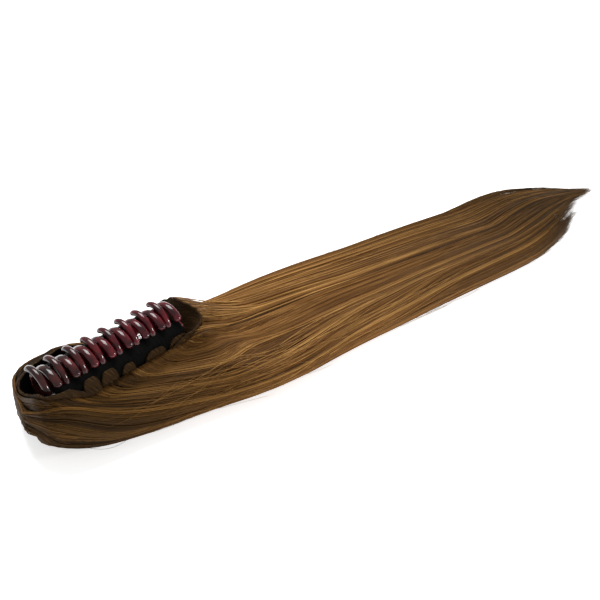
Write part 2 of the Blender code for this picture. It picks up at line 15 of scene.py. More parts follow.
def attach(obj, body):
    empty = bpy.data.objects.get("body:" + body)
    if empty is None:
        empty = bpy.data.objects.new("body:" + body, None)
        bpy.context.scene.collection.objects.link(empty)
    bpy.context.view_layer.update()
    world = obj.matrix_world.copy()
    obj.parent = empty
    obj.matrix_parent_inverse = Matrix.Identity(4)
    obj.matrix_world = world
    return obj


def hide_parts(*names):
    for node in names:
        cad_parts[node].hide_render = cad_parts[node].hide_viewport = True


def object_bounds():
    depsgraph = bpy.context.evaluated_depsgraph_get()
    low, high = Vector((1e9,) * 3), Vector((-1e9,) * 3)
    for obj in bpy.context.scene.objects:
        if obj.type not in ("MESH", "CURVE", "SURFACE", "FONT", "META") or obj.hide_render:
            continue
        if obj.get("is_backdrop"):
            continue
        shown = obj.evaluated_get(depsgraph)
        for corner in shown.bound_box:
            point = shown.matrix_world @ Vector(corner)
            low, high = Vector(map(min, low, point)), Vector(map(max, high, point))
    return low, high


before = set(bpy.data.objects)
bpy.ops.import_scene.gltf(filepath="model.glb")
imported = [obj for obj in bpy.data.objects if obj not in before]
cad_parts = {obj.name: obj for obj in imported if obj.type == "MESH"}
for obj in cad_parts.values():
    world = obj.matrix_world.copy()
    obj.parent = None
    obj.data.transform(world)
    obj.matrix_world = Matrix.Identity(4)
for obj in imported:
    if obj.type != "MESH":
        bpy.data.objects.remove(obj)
CAD_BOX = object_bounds()

MM = 0.001

# The photograph's view
CAMERA_PLACE = (-0.2048, -0.369, 0.374)
CAMERA_AZIMUTH = -46.3
CAMERA_ELEVATION = 35.5
CAMERA_LENS = 48
SENSOR_WIDTH = 36

# Light: (place, size, power), in metres and watts
KEY_LIGHT = ((0.35, 0.5, 1.1), 0.7, 16.0)
LOW_LIGHT = ((0.9, -0.95, 0.35), 0.22, 7.0)
WORLD_STRENGTH = 0.42
PAPER_GLOW = 0.62
FLOOR_SIZE = 6.0

# The claw, in mm
TEETH_PER_JAW = 8
TOOTH_PITCH = 13.2
BELLY_Z = 42
BELLY_RADIUS = 15.5
JAW_WALL = 2.2
TOOTH_TIP_ANGLE = {-1: 57, 1: 44}
TOOTH_ROOT_ANGLE = {-1: 176, 1: 172}
PLATE_TOP_ANGLE = 166
# Where the plate's top turns inwards to the teeth: how far from the middle, and height
PLATE_SHOULDER = {-1: (9.6, 46.4), 1: (11.6, 46.0)}
JAW_LOW_ANGLE = 214
TOOTH_WIDTH = {-1: 4.8, 1: 5.8}
TOOTH_DEPTH = 4.0
TOOTH_ARCH = {
    # side: (radius, y of its middle, height of its middle)
    -1: (13.2, 2.5, 44.8),
    1: (14.5, -2.0, 42.0),
}
TOOTH_SIDES = 16
TOOTH_STEPS = 16
TIP_STEPS = [
    # (way on, how much narrower)
    (0.9, 0.88),
    (0.7, 0.74),
    (0.45, 0.5),
]
HINGE_Z = 25
WAIST = (3.8, 25.8)
HANDLE_PROFILE = [(4.6, 24.6), (8.0, 20.8), (11.8, 17.6), (15.2, 16.0)]
KNUCKLE_RADIUS = 2.8
KNUCKLE_LENGTH = 10
KNUCKLE_X = {-1: 41, 1: 30.4}
PLATE_END_X = {-1: (-52.0, 52.0), 1: (-47.6, 52.0)}
PIN_RADIUS = 1.2
PIN_HALF_LENGTH = 47.5
PIN_HEAD_RADIUS = 2.3
PIN_HEAD_LENGTH = 1.5
SPRING_RADIUS = 2.05
SPRING_WIRE = 0.5
SPRING_HALF_LENGTH = 22.5
SPRING_TURNS = 34

# Net and weft, in mm
NET_WALL = 0.8
NET_THREAD_PITCH = 0.6912
NET_END_X = {-1: (-46.5, 50.5), 1: (-44.5, 44.5)}
NET_RADIUS = BELLY_RADIUS + 1.4
NET_TOP_ANGLE = 168
NET_TOP_PLACES = {-1: [(9.2, 48.0), (12.6, 48.0)], 1: [(11.6, 47.7), (13.4, 47.6)]}
NET_LOW_PLACES = {-1: [(17.0, 36.5), (17.1, 31.5)], 1: [(15.8, 37.5), (15.0, 35.8)]}
WEFT_WALL = 1.5
WEFT_INSET = 1.4
# The hollow's middle in plan, how far along X the hair's faces inside it are painted with the black net as
# shade, and how squarely a face must look in to get that painted shade
WELL_MIDDLE = (2.0, 9.0)
WELL_END_X = 66.0
HOLLOW_SHADE_FACING = 0.3
WEFT_LEAN_RADIUS = BELLY_RADIUS + 3.8
WEFT_EDGE = [
    # (turn, top_z, low_z), in degrees from the tail end and mm
    (0, 49.8, 33.0),
    (12, 48.0, 32.0),
    (26, 43.0, 30.0),
    (40, 31.0, 22.0),
    (54, 20.5, 13.5),
    (65, 19.5, 13.5),
    (77, 24.0, 15.0),
    (90, 29.5, 18.0),
    (104, 35.5, 22.0),
    (120, 36.0, 23.0),
    (160, 36.5, 24.0),
    (180, 39.5, 26.0),
    (198, 44.5, 30.0),
    (212, 50.5, 33.0),
    (228, 51.0, 32.0),
    (234, 49.0, 31.0),
    (240, 43.0, 29.0),
    (244, 36.0, 26.0),
    (252, 33.5, 26.0),
    (270, 33.0, 25.0),
    (294, 33.0, 25.0),
    (301, 38.5, 26.0),
    (309, 43.5, 28.0),
    (318, 46.5, 29.0),
    (332, 49.0, 31.0),
    (346, 50.0, 33.0),
]
WEFT_TABS = [
    # (middle_x, half_width, low_z, peak_z)
    (-24.4, 6.6, 36.6, 48.2),
    (-11.2, 7.0, 33.4, 47.0),
    (3.4, 5.8, 32.2, 43.8),
    (25.0, 9.6, 31.4, 43.0),
    (44.5, 9.4, 31.8, 43.2),
]
TAB_RADIUS = BELLY_RADIUS + 2.6
TAB_REACH = 6.0
TAB_FLARE = 1.5
TAB_WALL = 1.1

# The ear at the tail end flares outwards round its near corner: turn and width in degrees
EAR_START_X = 50.0
EAR_FLARE = 4.5
EAR_FLARE_TURN = 318.0
EAR_FLARE_WIDTH = 24.0
EAR_FLARE_LOW_Z = 31.0
EAR_FLARE_RISE = 14.0
# Dark, middle and light fibre of the weft
WEFT_COLOURS = ("#150d05", "#2f1f0d", "#543c1e")

# The hollow in the hair that the claw stands in, in mm
WELL_RINGS = [
    # (z, near, far, left, right)
    (5.0, -15.5, 31.0, -50.0, 55.0),
    (10.0, -18.5, 35.0, -53.0, 58.0),
    (18.0, -20.4, 38.2, -56.0, 60.5),
    (30.0, -20.8, 39.0, -57.0, 61.5),
    (40.0, -21.0, 39.2, -57.2, 63.5),
    (48.0, -21.2, 39.4, -57.3, 66.0),
    (62.0, -21.4, 39.6, -57.4, 68.0),
]
WELL_CORNERS = {
    # (towards the tips, towards the far side): how square the corner is
    (True, True): 3.4,
    (False, True): 2.7,
    (False, False): 8.0,
    (True, False): 6.0,
}

# The hair's sections, in mm, with two more at the tips than the solid has
HAIR_SECTIONS = [
    # (x, floor, near_foot, near, near_rim_y, near_rim_z, crown_y, crown_z, far_rim_y, far_rim_z, far)
    (-59.8, 20.0, -5.0, -9.5, -7.0, 39.0, -3, 37.5, 2.0, 35.0, 5),
    (-58.8, 16.5, -3.5, -15.0, -11.5, 41.5, -3, 38.5, 7.0, 35.0, 11),
    (-57.0, 11.5, -1.0, -18.8, -15.5, 43.5, -3, 39.5, 14.0, 35.0, 18.5),
    (-53.5, 3.0, 1.5, -22.5, -19.5, 45.0, -2, 41.0, 24.5, 34.5, 28.5),
    (-48.0, 0.0, -7.0, -27.5, -22.2, 45.0, 0, 41.0, 33.5, 34.5, 37.5),
    (-40.0, 0.0, -16.0, -32.5, -22.4, 42.0, 0, 39.0, 39.2, 34.5, 41.8),
    (-28.0, 0.0, -24.5, -37.5, -22.6, 35.0, 0, 37.0, 40.6, 34.5, 43.4),
    (-12.0, 0.0, -31.5, -42.5, -22.8, 31.0, 0, 35.0, 40.6, 34.0, 43.5),
    (2.0, 0.0, -36.5, -46.5, -22.8, 30.0, 0, 32.0, 40.6, 28.0, 43.5),
    (16.0, 0.0, -41.0, -50.0, -22.8, 29.5, 0, 30.0, 40.6, 22.5, 43.5),
    (30.0, 0.0, -45.5, -54.0, -22.8, 29.5, 0, 30.0, 40.4, 18.0, 43.2),
    (44.0, 0.0, -50.5, -58.5, -23.0, 30.0, 2, 32.0, 40.0, 16.0, 42.8),
    (54.0, 0.0, -54.0, -61.5, -23.5, 32.0, 2, 37.0, 38.0, 17.0, 41.8),
    (61.0, 0.0, -57.0, -64.0, -24.5, 33.5, -3, 40.0, 34.0, 20.0, 41),
    (67.0, 0.0, -59.0, -66.0, -27.0, 33.0, -6, 40.0, 30.0, 22.0, 40.2),
    (74.0, 0.0, -61.5, -68.0, -31.0, 29.5, -5, 35.5, 26.0, 23.0, 39.3),
    (84.0, 0.0, -64.5, -70.5, -37.0, 25.5, -2, 29.5, 25.0, 20.0, 38.3),
    (98.0, 0.0, -68.0, -73.3, -44.0, 22.5, -3, 25.5, 24.0, 17.5, 36.8),
    (120.0, 0.0, -71.5, -76.0, -50.0, 20.0, -9, 23.0, 19.0, 16.0, 34),
    (155.0, 0.0, -75.5, -79.0, -56.0, 17.8, -18, 21.0, 14.0, 15.0, 31.3),
    (200.0, 0.0, -83.0, -86.5, -64.0, 15.5, -30, 19.0, 6.0, 13.5, 23.5),
    (245.0, 0.0, -90.5, -93.5, -72.0, 14.0, -40, 17.5, -4.0, 12.5, 12.5),
    (290.0, 0.0, -98.5, -101.5, -80.0, 12.5, -50, 16.0, -13.0, 11.5, 3.5),
    (335.0, 0.0, -106.5, -109.5, -88.0, 11.0, -60, 14.0, -23.0, 10.0, -6),
    (365.0, 0.0, -110.0, -112.5, -92.0, 9.5, -66, 12.5, -30.0, 9.0, -13),
    (395.0, 0.0, -108.5, -110.5, -92.0, 8.0, -64, 11.0, -32.0, 7.5, -15),
    (422.0, 0.0, -104.5, -106.0, -90.0, 6.5, -64, 9.0, -35.0, 6.0, -19),
    (445.0, 0.0, -98.5, -100.0, -88.0, 5.2, -66, 7.0, -42.0, 5.0, -26),
    (462.0, 0.0, -95.5, -96.5, -87.0, 4.2, -70, 5.4, -50.0, 4.2, -37),
    (482.0, 0.0, -92.5, -93.5, -86.0, 3.0, -75, 3.8, -62.0, 3.0, -53),
    (500.0, 0.0, -90.5, -91.2, -87.5, 2.0, -82, 2.4, -76.0, 2.0, -72),
    (512.0, 0.0, -89.5, -90.0, -88.0, 1.5, -85, 1.8, -82.0, 1.5, -80),
]
BODY_END_X = 425.0
NEAR_SIDE = [
    # (to_foot, to_rim, height) as shares, from the foot up
    (1.0, 0.0, 0.0),
    (0.6, 0.0, 0.14),
    (0.0, 0.0, 0.42),
    (0.0, 0.34, 0.8),
    (0.0, 1.0, 1.0),
]
FAR_SIDE = [
    # (to_foot, to_rim, height) as shares, from the foot up
    (1.0, 0.0, 0.0),
    (0.0, 0.0, 0.35),
    (0.0, 0.3, 0.75),
    (0.0, 1.0, 1.0),
]
FAR_FOOT_SHARE = 0.3
FAR_FOOT_INSET = 1.0
SHOULDER_HEIGHT = 0.72
FULL_RELIEF_HEIGHT = 20.0
# Where the near rim and the far rim lie round a section, as shares from the near foot to the far foot
NEAR_RIM_SHARE = 10 / 41
FAR_RIM_SHARE = 34 / 41
STRETCHES = [
    # (low share, high share, first control, last control)
    (0.0, NEAR_RIM_SHARE, 0, 4),
    (NEAR_RIM_SHARE, FAR_RIM_SHARE, 4, 8),
    (FAR_RIM_SHARE, 1.0, 8, 11),
]
GRID_STEP = 1.5
GRID_X = np.arange(-59.8, 512.0, GRID_STEP)
GRID_SHARES = np.linspace(0.0, 1.0, 247)
MASS_STEP = 3.0
MASS_COLUMNS = 165
WELL_SIDES = 128
LOCKS_ACROSS = 9
LOCK_DEPTH = 1.5
FINE_LOCKS_ACROSS = 47
FINE_LOCK_DEPTH = 0.35
PARTING_START = (66.0, -19.0)
PARTING_END = (175.0, -46.0)
PARTING_WIDTH = 4.5
PARTING_DEPTH = 4.0

# Strands: each is a few hairs lying together, in mm
STRAND_STEPS = 56
SHORT_STRAND_STEPS = 26
STRAND_RADIUS = (0.2, 0.36)
STRAY_RADIUS = (0.11, 0.17)
STRAND_SIDES = 3
MAX_STRANDS_A_PIECE = 560
ROOT_TAPER = 0.02
TIP_TAPER = 0.07
CLIP_END_X = 75.0
SEED = 41
# Locks of strands in each part of the hair, and strands in a lock
LOCKS = {"near_wrap": 34, "left_rim": 10, "near_rim": 44, "ear": 50, "far_rim": 12, "far_wrap": 14}
STRANDS_A_LOCK = 14
# What part of the near side's hair, and of the far side's, comes round the left end
NEAR_WRAP_PART = 0.5
FAR_WRAP_PART = 0.6
RIM_START_X = -50.0
# How strands pass the left end: the step along X, places across it, and how far it bulges
END_STEP = 1.0
END_CAP_STEPS = np.linspace(0, 1, 9)[1:-1, None]
END_BULGE = 0.8
# How far down the strands round the left rim lie, and how far out the lowest ones
LEFT_RIM_DEPTH = 7.0
LEFT_RIM_SLOPE = 1.4
RIM_END_X = 62.0
# The share where the near side's hair ends and the far side's begins, at places along X
NEAR_GROUP_EDGE = [
    (-64, NEAR_RIM_SHARE), (64, NEAR_RIM_SHARE), (86, 0.33), (115, 0.375), (180, 0.42), (400, 0.45),
]
# How sharply the near side's strands spread over the rim's line: places along X, and powers there
FAN_POWER = ((84, 260), (3.0, 1.4))
FAR_GROUP_EDGE = [(-64, 0.829), (58, 0.829), (90, 0.80), (200, 0.76), (500, 0.74)]
# The height of the roots on the near side, at places along X: on the weft's edge, then on the tabs
NEAR_ROOT_Z = [(-56, 47.0), (-50, 49.0), (-42, 47.0), (-33, 41.5), (-27, 38.0), (50, 37.5), (58, 39.0)]
NEAR_ROOT_Y = -19.4
FAR_ROOT_INWARDS = -1.0
# How far the longest strands reach, by share
LONGEST = [
    (0.0, 422), (0.08, 444), (0.16, 468), (0.26, 494), (0.36, 510), (0.5, 516), (0.62, 512),
    (0.75, 505), (0.9, 495), (1.0, 482),
]
FREE_LENGTH = 45.0
FREE_SWAY = 2.2
FREE_SINK = 0.5
# How thick a lock is in mm, and how much shorter than the longest its strands are on average
LOCK_THICKNESS = 1.3
LOCK_SHORTER = 17
STRAND_SHORTER = 8
LOWEST_RANK = 0.004
# What sets the groups of locks apart: starts in mm, turns in degrees, widths in ranks or shares
NEAR_WRAP_START_X = (-50, -30)
NEAR_WRAP_WIDTH = 0.02
# how much darker the near side's lowest locks are painted, as shade
LOW_LOCKS_PAINTED_SHADE = 0.14
FAR_WRAP_START_X = (-56, -48)
FAR_WRAP_WIDTH = 0.03
RIM_LOCK_WIDTH = 0.006
RIM_LOCK_SPREAD = 2.0
LEFT_RIM_FIRST_TURN = (95, 140)
LEFT_RIM_LAST_TURN = 226
LEFT_RIM_TURN_STEP = 4.0
LEFT_RIM_JOIN_X = -42
LEFT_RIM_WIDTH = 0.005
# how much darker the locks round the left rim are painted, as shade
LEFT_RIM_PAINTED_SHADE = 0.1
EAR_TURNS = (-75, 75)
EAR_SWEEP = (32, 60)
EAR_ROOT_BELOW_EDGE = (-0.5, 8.0)
EAR_LIGHTER = 0.06
CROSSING_STRANDS = 30
CROSSING_START_X = (-30, 60)
CROSSING_END_X = (150, 330)
CROSSING_SHARE = (0.04, 0.2)
CROSSING_RISE = (0.0, 0.14)
CROSSING_HEIGHT = 2.4
CROSSING_POINTS = 40
CROSSING_TONE = 0.85
FLYAWAYS = 80
FLYAWAY_LENGTH = (30, 95)
FLYAWAY_START_X = (-50, 430)
FLYAWAY_HEIGHT = (2, 7)
FLYAWAY_POINTS = 16
FLYAWAY_TONE = 0.6
RAMP = "ShaderNodeValToRGB"


# Materials

def linear(hex_colour):
    """An sRGB hex colour as linear RGBA."""
    channels = [int(hex_colour[place : place + 2], 16) / 255 for place in (1, 3, 5)]
    return tuple(c / 12.92 if c <= 0.04045 else ((c + 0.055) / 1.055) ** 2.4 for c in channels) + (1.0,)


def socket(sockets, name):
    """A socket by its name, or by its identifier where several share a name."""
    return next(found for found in sockets if name in (found.identifier, found.name))


def add(tree, kind, inputs=None, result=None, stops=(), **settings):
    """Add a node with its settings and links, and give its result. An input is a value or a socket.

    A colour ramp's stops are pairs of a place and a hex colour.
    """
    node = tree.nodes.new(kind)
    for name, value in settings.items():
        setattr(node, name, value)
    for name, value in (inputs or {}).items():
        if isinstance(value, bpy.types.NodeSocket):
            tree.links.new(value, socket(node.inputs, name))
        else:
            socket(node.inputs, name).default_value = value
    elements = node.color_ramp.elements if stops else ()
    while len(elements) < len(stops):
        elements.new(0.5)
    for element, (place, colour) in zip(elements, stops):
        element.position = place
        element.color = linear(colour)
    return socket(node.outputs, result) if result else node


def new_material(name, constants):
    """A Principled material with its constant settings."""
    material = bpy.data.materials.new(name)
    material.use_nodes = True
    shader = material.node_tree.nodes["Principled BSDF"]
    for name_of_socket, value in constants.items():
        shader.inputs[name_of_socket].default_value = value
    return material, material.node_tree, shader


def moulded_acetate():
    """Moulded cellulose acetate, burgundy mottled with brown: polished, so its highlights are sharp."""
    material, tree, shader = new_material(
        "moulded_burgundy_acetate",
        {
            "Roughness": 0.16,
            "IOR": 1.49,
            "Specular IOR Level": 0.4,
            "Coat Weight": 0.12,
            "Coat Roughness": 0.05,
            "Subsurface Weight": 0.15,
            "Subsurface Radius": (0.004, 0.0008, 0.0008),
            "Subsurface Scale": 1.0,
        },
    )
    place = add(tree, "ShaderNodeTexCoord", result="Object")
    x = add(tree, "ShaderNodeSeparateXYZ", {"Vector": place}, "X")
    # the left end is browner than the rest
    along = add(tree, "ShaderNodeMapRange", {"Value": x, "From Min": -0.045, "From Max": 0.0}, "Result")
    # mottling about 9 mm across
    mottle = add(tree, "ShaderNodeTexNoise", {"Vector": place, "Scale": 110.0, "Detail": 3.0}, "Fac")
    reds = [(0.35, "#2a0a0e"), (0.52, "#4d0f17"), (0.68, "#6d1821")]
    browns = [(0.35, "#1d0d0c"), (0.52, "#341614"), (0.68, "#4b211d")]
    red = add(tree, RAMP, {"Fac": mottle}, "Color", reds)
    brown = add(tree, RAMP, {"Fac": mottle}, "Color", browns)
    colours = {"Factor_Float": along, "A_Color": brown, "B_Color": red}
    mixed = add(tree, "ShaderNodeMix", colours, "Result_Color", data_type="RGBA")
    tree.links.new(mixed, shader.inputs["Base Color"])
    return material


def spring_steel():
    """Drawn spring steel: bright, with fine marks along the wire."""
    material, tree, shader = new_material("drawn_spring_steel", {"Metallic": 1.0, "Roughness": 0.3})
    place = add(tree, "ShaderNodeTexCoord", result="Object")
    # drawing marks about 0.3 mm apart
    marks = add(tree, "ShaderNodeTexNoise", {"Vector": place, "Scale": 3000.0}, "Fac")
    colour = add(tree, RAMP, {"Fac": marks}, "Color", [(0.3, "#8e8e90"), (0.7, "#b9b9bb")])
    tree.links.new(colour, shader.inputs["Base Color"])
    return material


def nylon_net():
    """Black nylon net with threads about 0.7 mm apart: matt, with dark holes between the threads."""
    material, tree, shader = new_material("black_nylon_net", {"Roughness": 0.9, "Specular IOR Level": 0.06})
    place = add(tree, "ShaderNodeUVMap", {}, "UV", uv_map="cloth")
    turned = add(tree, "ShaderNodeMapping", {"Vector": place, "Rotation": (0, 0, math.radians(45))}, "Vector")
    # a wave's bands are pi / (10 * scale) apart
    wave = {"Vector": turned, "Scale": math.pi / (10 * NET_THREAD_PITCH), "Distortion": 0.6}
    threads = [
        add(tree, "ShaderNodeTexWave", wave, "Fac", bands_direction=direction) for direction in ("X", "Y")
    ]
    crossed = {"Value": threads[0], "Value_001": threads[1]}
    weave = add(tree, "ShaderNodeMath", crossed, "Value", operation="MAXIMUM")
    colour = add(tree, RAMP, {"Fac": weave}, "Color", [(0.45, "#020202"), (0.95, "#0d0c0b")])
    tree.links.new(colour, shader.inputs["Base Color"])
    bump = add(tree, "ShaderNodeBump", {"Height": weave, "Strength": 0.6, "Distance": 0.0003}, "Normal")
    tree.links.new(bump, shader.inputs["Normal"])
    return material


def weft_fibre(name, dark, mid, light):
    """Machine-sewn hair weft: fibres side by side across the strip, dull."""
    material, tree, shader = new_material(name, {"Roughness": 0.75, "Specular IOR Level": 0.08})
    place = add(tree, "ShaderNodeUVMap", {}, "UV", uv_map="cloth")
    # fibres about 0.5 mm apart, running up the strip
    stretched = add(tree, "ShaderNodeMapping", {"Vector": place, "Scale": (2.0, 0.12, 1.0)}, "Vector")
    fibres = add(tree, "ShaderNodeTexNoise", {"Vector": stretched, "Scale": 1.0, "Detail": 4.0}, "Fac")
    colour = add(tree, RAMP, {"Fac": fibres}, "Color", [(0.3, dark), (0.52, mid), (0.72, light)])
    tree.links.new(colour, shader.inputs["Base Color"])
    bump = add(tree, "ShaderNodeBump", {"Height": fibres, "Strength": 0.7, "Distance": 0.0004}, "Normal")
    tree.links.new(bump, shader.inputs["Normal"])
    return material


def painted_sheen_and_shade_along(tree):
    """How the hair's painted light changes along X: golden behind the clip as painted sheen, browner round
    the clip as painted shade, and browner at the tips.
    """
    place = add(tree, "ShaderNodeTexCoord", result="Object")
    x = add(tree, "ShaderNodeSeparateXYZ", {"Vector": place}, "X")
    tips = add(tree, "ShaderNodeMapRange", {"Value": x, "From Min": 0.18, "From Max": 0.42}, "Result")
    clip = add(tree, "ShaderNodeMapRange", {"Value": x, "From Min": 0.1, "From Max": -0.02}, "Result")
    return add(tree, "ShaderNodeMath", {"Value": tips, "Value_001": clip}, "Value", operation="MAXIMUM")


def hair_fibre():
    """Straight light brown hair: smooth fibres with a soft long shine. Each strand has its own tone."""
    material, tree, shader = new_material(
        "light_brown_hair_fibre", {"Roughness": 0.45, "IOR": 1.55, "Specular IOR Level": 0.1}
    )
    tone = add(tree, "ShaderNodeAttribute", {}, "Fac", attribute_name="tone")
    # the strand's tone as the hair with painted sheen (golden) and with painted shade (brown), mixed along X
    goldens = [(0.0, "#301d0a"), (0.5, "#7e5527"), (1.0, "#cc9b58")]
    browns = [(0.0, "#1a1004"), (0.5, "#452e10"), (1.0, "#865e29")]
    golden = add(tree, RAMP, {"Fac": tone}, "Color", goldens)
    brown = add(tree, RAMP, {"Fac": tone}, "Color", browns)
    colours = {"Factor_Float": painted_sheen_and_shade_along(tree), "A_Color": golden, "B_Color": brown}
    mixed = add(tree, "ShaderNodeMix", colours, "Result_Color", data_type="RGBA")
    tree.links.new(mixed, shader.inputs["Base Color"])
    return material


def hair_mass():
    """The hair that lies under the strands: the same hair in shade, as fine streaks along it."""
    material, tree, shader = new_material(
        "light_brown_hair_mass", {"Roughness": 0.7, "Specular IOR Level": 0.1}
    )
    place = add(tree, "ShaderNodeUVMap", {}, "UV", uv_map="hair")
    # streaks about 0.8 mm wide and 60 mm long
    stretched = add(tree, "ShaderNodeMapping", {"Vector": place, "Scale": (0.016, 1.2, 1.0)}, "Vector")
    streaks = add(tree, "ShaderNodeTexNoise", {"Vector": stretched, "Scale": 1.0, "Detail": 5.0}, "Fac")
    # the streaks as the hair with painted sheen (golden) and with painted shade (brown), mixed along X
    goldens = [(0.3, "#191005"), (0.5, "#38240d"), (0.7, "#583c18")]
    browns = [(0.3, "#0f0a04"), (0.5, "#22160a"), (0.7, "#362511")]
    golden = add(tree, RAMP, {"Fac": streaks}, "Color", goldens)
    brown = add(tree, RAMP, {"Fac": streaks}, "Color", browns)
    colours = {"Factor_Float": painted_sheen_and_shade_along(tree), "A_Color": golden, "B_Color": brown}
    mixed = add(tree, "ShaderNodeMix", colours, "Result_Color", data_type="RGBA")
    tree.links.new(mixed, shader.inputs["Base Color"])
    bump = add(tree, "ShaderNodeBump", {"Height": streaks, "Strength": 0.8, "Distance": 0.0006}, "Normal")
    tree.links.new(bump, shader.inputs["Normal"])
    return material


def pale_paper():
    """The seamless pale paper that the hairpiece lies on."""
    constants = {
        "Base Color": linear("#f4f4f4"),
        "Roughness": 0.9,
        "Specular IOR Level": 0.1,
        "Emission Color": linear("#ffffff"),
        "Emission Strength": PAPER_GLOW,
    }
    return new_material("pale_paper", constants)[0]


# Modelling

def deselect_all():
    """Leave edit mode and select nothing."""
    if bpy.context.object and bpy.context.object.mode != "OBJECT":
        bpy.ops.object.mode_set(mode="OBJECT")
    bpy.ops.object.select_all(action="DESELECT")


def newest(name):
    """Name the object that an operator has just made."""
    made = bpy.context.object
    made.name = name
    made.data.name = name
    return made


def apply_place(piece):
    """Put an object's place, turn and scale into its mesh."""
    deselect_all()
    piece.select_set(True)
    bpy.context.view_layer.objects.active = piece
    bpy.ops.object.transform_apply(location=True, rotation=True, scale=True)


def edit_faces(piece, chosen):
    """Open edit mode with just the faces selected whose middle passes a test."""
    deselect_all()
    bpy.context.view_layer.objects.active = piece
    piece.select_set(True)
    bpy.context.tool_settings.mesh_select_mode = (False, False, True)
    piece.data.vertices.foreach_set("select", [False] * len(piece.data.vertices))
    piece.data.edges.foreach_set("select", [False] * len(piece.data.edges))
    for face in piece.data.polygons:
        face.select = chosen(face)
    bpy.ops.object.mode_set(mode="EDIT")


def edit_vertices(piece, chosen):
    """Open edit mode with just the vertices selected whose place passes a test."""
    deselect_all()
    bpy.context.view_layer.objects.active = piece
    piece.select_set(True)
    bpy.context.tool_settings.mesh_select_mode = (True, False, False)
    piece.data.polygons.foreach_set("select", [False] * len(piece.data.polygons))
    piece.data.edges.foreach_set("select", [False] * len(piece.data.edges))
    for vertex in piece.data.vertices:
        vertex.select = chosen(vertex.co)
    bpy.ops.object.mode_set(mode="EDIT")


def apply_modifiers(piece):
    """Apply every modifier, in order."""
    deselect_all()
    bpy.context.view_layer.objects.active = piece
    piece.select_set(True)
    for modifier in list(piece.modifiers):
        bpy.ops.object.modifier_apply(modifier=modifier.name)


def thicken(piece, wall):
    """Give an open sheet a wall, half on each side of it."""
    modifier = piece.modifiers.new("wall", "SOLIDIFY")
    modifier.thickness = wall
    modifier.offset = 0.0


def ease_edges(piece, width, segments=2, angle=40):
    """Round the sharp edges."""
    modifier = piece.modifiers.new("edges", "BEVEL")
    modifier.width = width
    modifier.segments = segments
    modifier.limit_method = "ANGLE"
    modifier.angle_limit = math.radians(angle)


def shade_round(piece, angle=40):
    """Smooth shading that keeps the sharp edges."""
    piece.data.shade_smooth()
    piece.data.set_sharp_from_angle(angle=math.radians(angle))


def join(name, pieces):
    """Join pieces into the first one."""
    deselect_all()
    for piece in pieces:
        piece.select_set(True)
    bpy.context.view_layer.objects.active = pieces[0]
    bpy.ops.object.join()
    return newest(name)


def copy_along(piece, x):
    """A copy with its own mesh, moved along X."""
    copied = piece.copy()
    copied.data = piece.data.copy()
    copied.data.transform(Matrix.Translation((x, 0, 0)))
    bpy.context.scene.collection.objects.link(copied)
    return copied


def new_piece(name, vertices, faces):
    """An object from a mesh made in code, in mm."""
    mesh = bpy.data.meshes.new(name)
    mesh.from_pydata([tuple(place) for place in vertices], [], faces)
    mesh.update()
    made = bpy.data.objects.new(name, mesh)
    bpy.context.scene.collection.objects.link(made)
    return made


def settle(piece, body, slot, material, *nodes):
    """Turn a finished piece from mm to metres, give it its material and hang it on its body."""
    piece.data.transform(Matrix.Scale(MM, 4))
    if not piece.data.materials:
        piece.data.materials.append(material)
    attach(piece, body)
    if nodes:
        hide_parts(*nodes)


# The claw

def polar(radius, middle_y, middle_z, degrees):
    """A place round an arch, in degrees from the far side over the top."""
    turn = math.radians(degrees)
    return middle_y + radius * math.cos(turn), middle_z + radius * math.sin(turn)


def facing(side, degrees):
    """An angle measured from the other jaw's side, as one from the far side."""
    return degrees if side < 0 else 180 - degrees


def make_tooth(side):
    """One tooth: an oval at its root, spun over the top of the claw and drawn in to a round tip."""
    radius, middle_y, middle_z = TOOTH_ARCH[side]
    root = facing(side, TOOTH_ROOT_ANGLE[side])
    tip = facing(side, TOOTH_TIP_ANGLE[side])
    y, z = polar(radius, middle_y, middle_z, root)
    deselect_all()
    bpy.ops.mesh.primitive_circle_add(
        vertices=TOOTH_SIDES, radius=0.5, fill_type="NGON", location=(0, y, z),
        rotation=(math.radians(root), 0, 0),
    )
    tooth = newest("tooth")
    tooth.scale = (TOOTH_WIDTH[side], TOOTH_DEPTH, 1)
    apply_place(tooth)
    bpy.ops.object.mode_set(mode="EDIT")
    bpy.ops.mesh.select_all(action="SELECT")
    bpy.ops.mesh.spin(
        steps=TOOTH_STEPS, angle=math.radians(root - tip), center=(0, middle_y, middle_z), axis=(1, 0, 0)
    )
    y, z = polar(radius, middle_y, middle_z, tip)
    ahead = math.radians(tip + 90 * side)
    for advance, narrower in TIP_STEPS:
        move = (0, advance * math.cos(ahead), advance * math.sin(ahead))
        bpy.ops.mesh.extrude_region_move(TRANSFORM_OT_translate={"value": move})
        y += move[1]
        z += move[2]
        bpy.ops.transform.resize(value=(narrower,) * 3, center_override=(0, y, z))
    bpy.ops.mesh.select_all(action="SELECT")
    bpy.ops.mesh.normals_make_consistent(inside=False)
    bpy.ops.object.mode_set(mode="OBJECT")
    return tooth


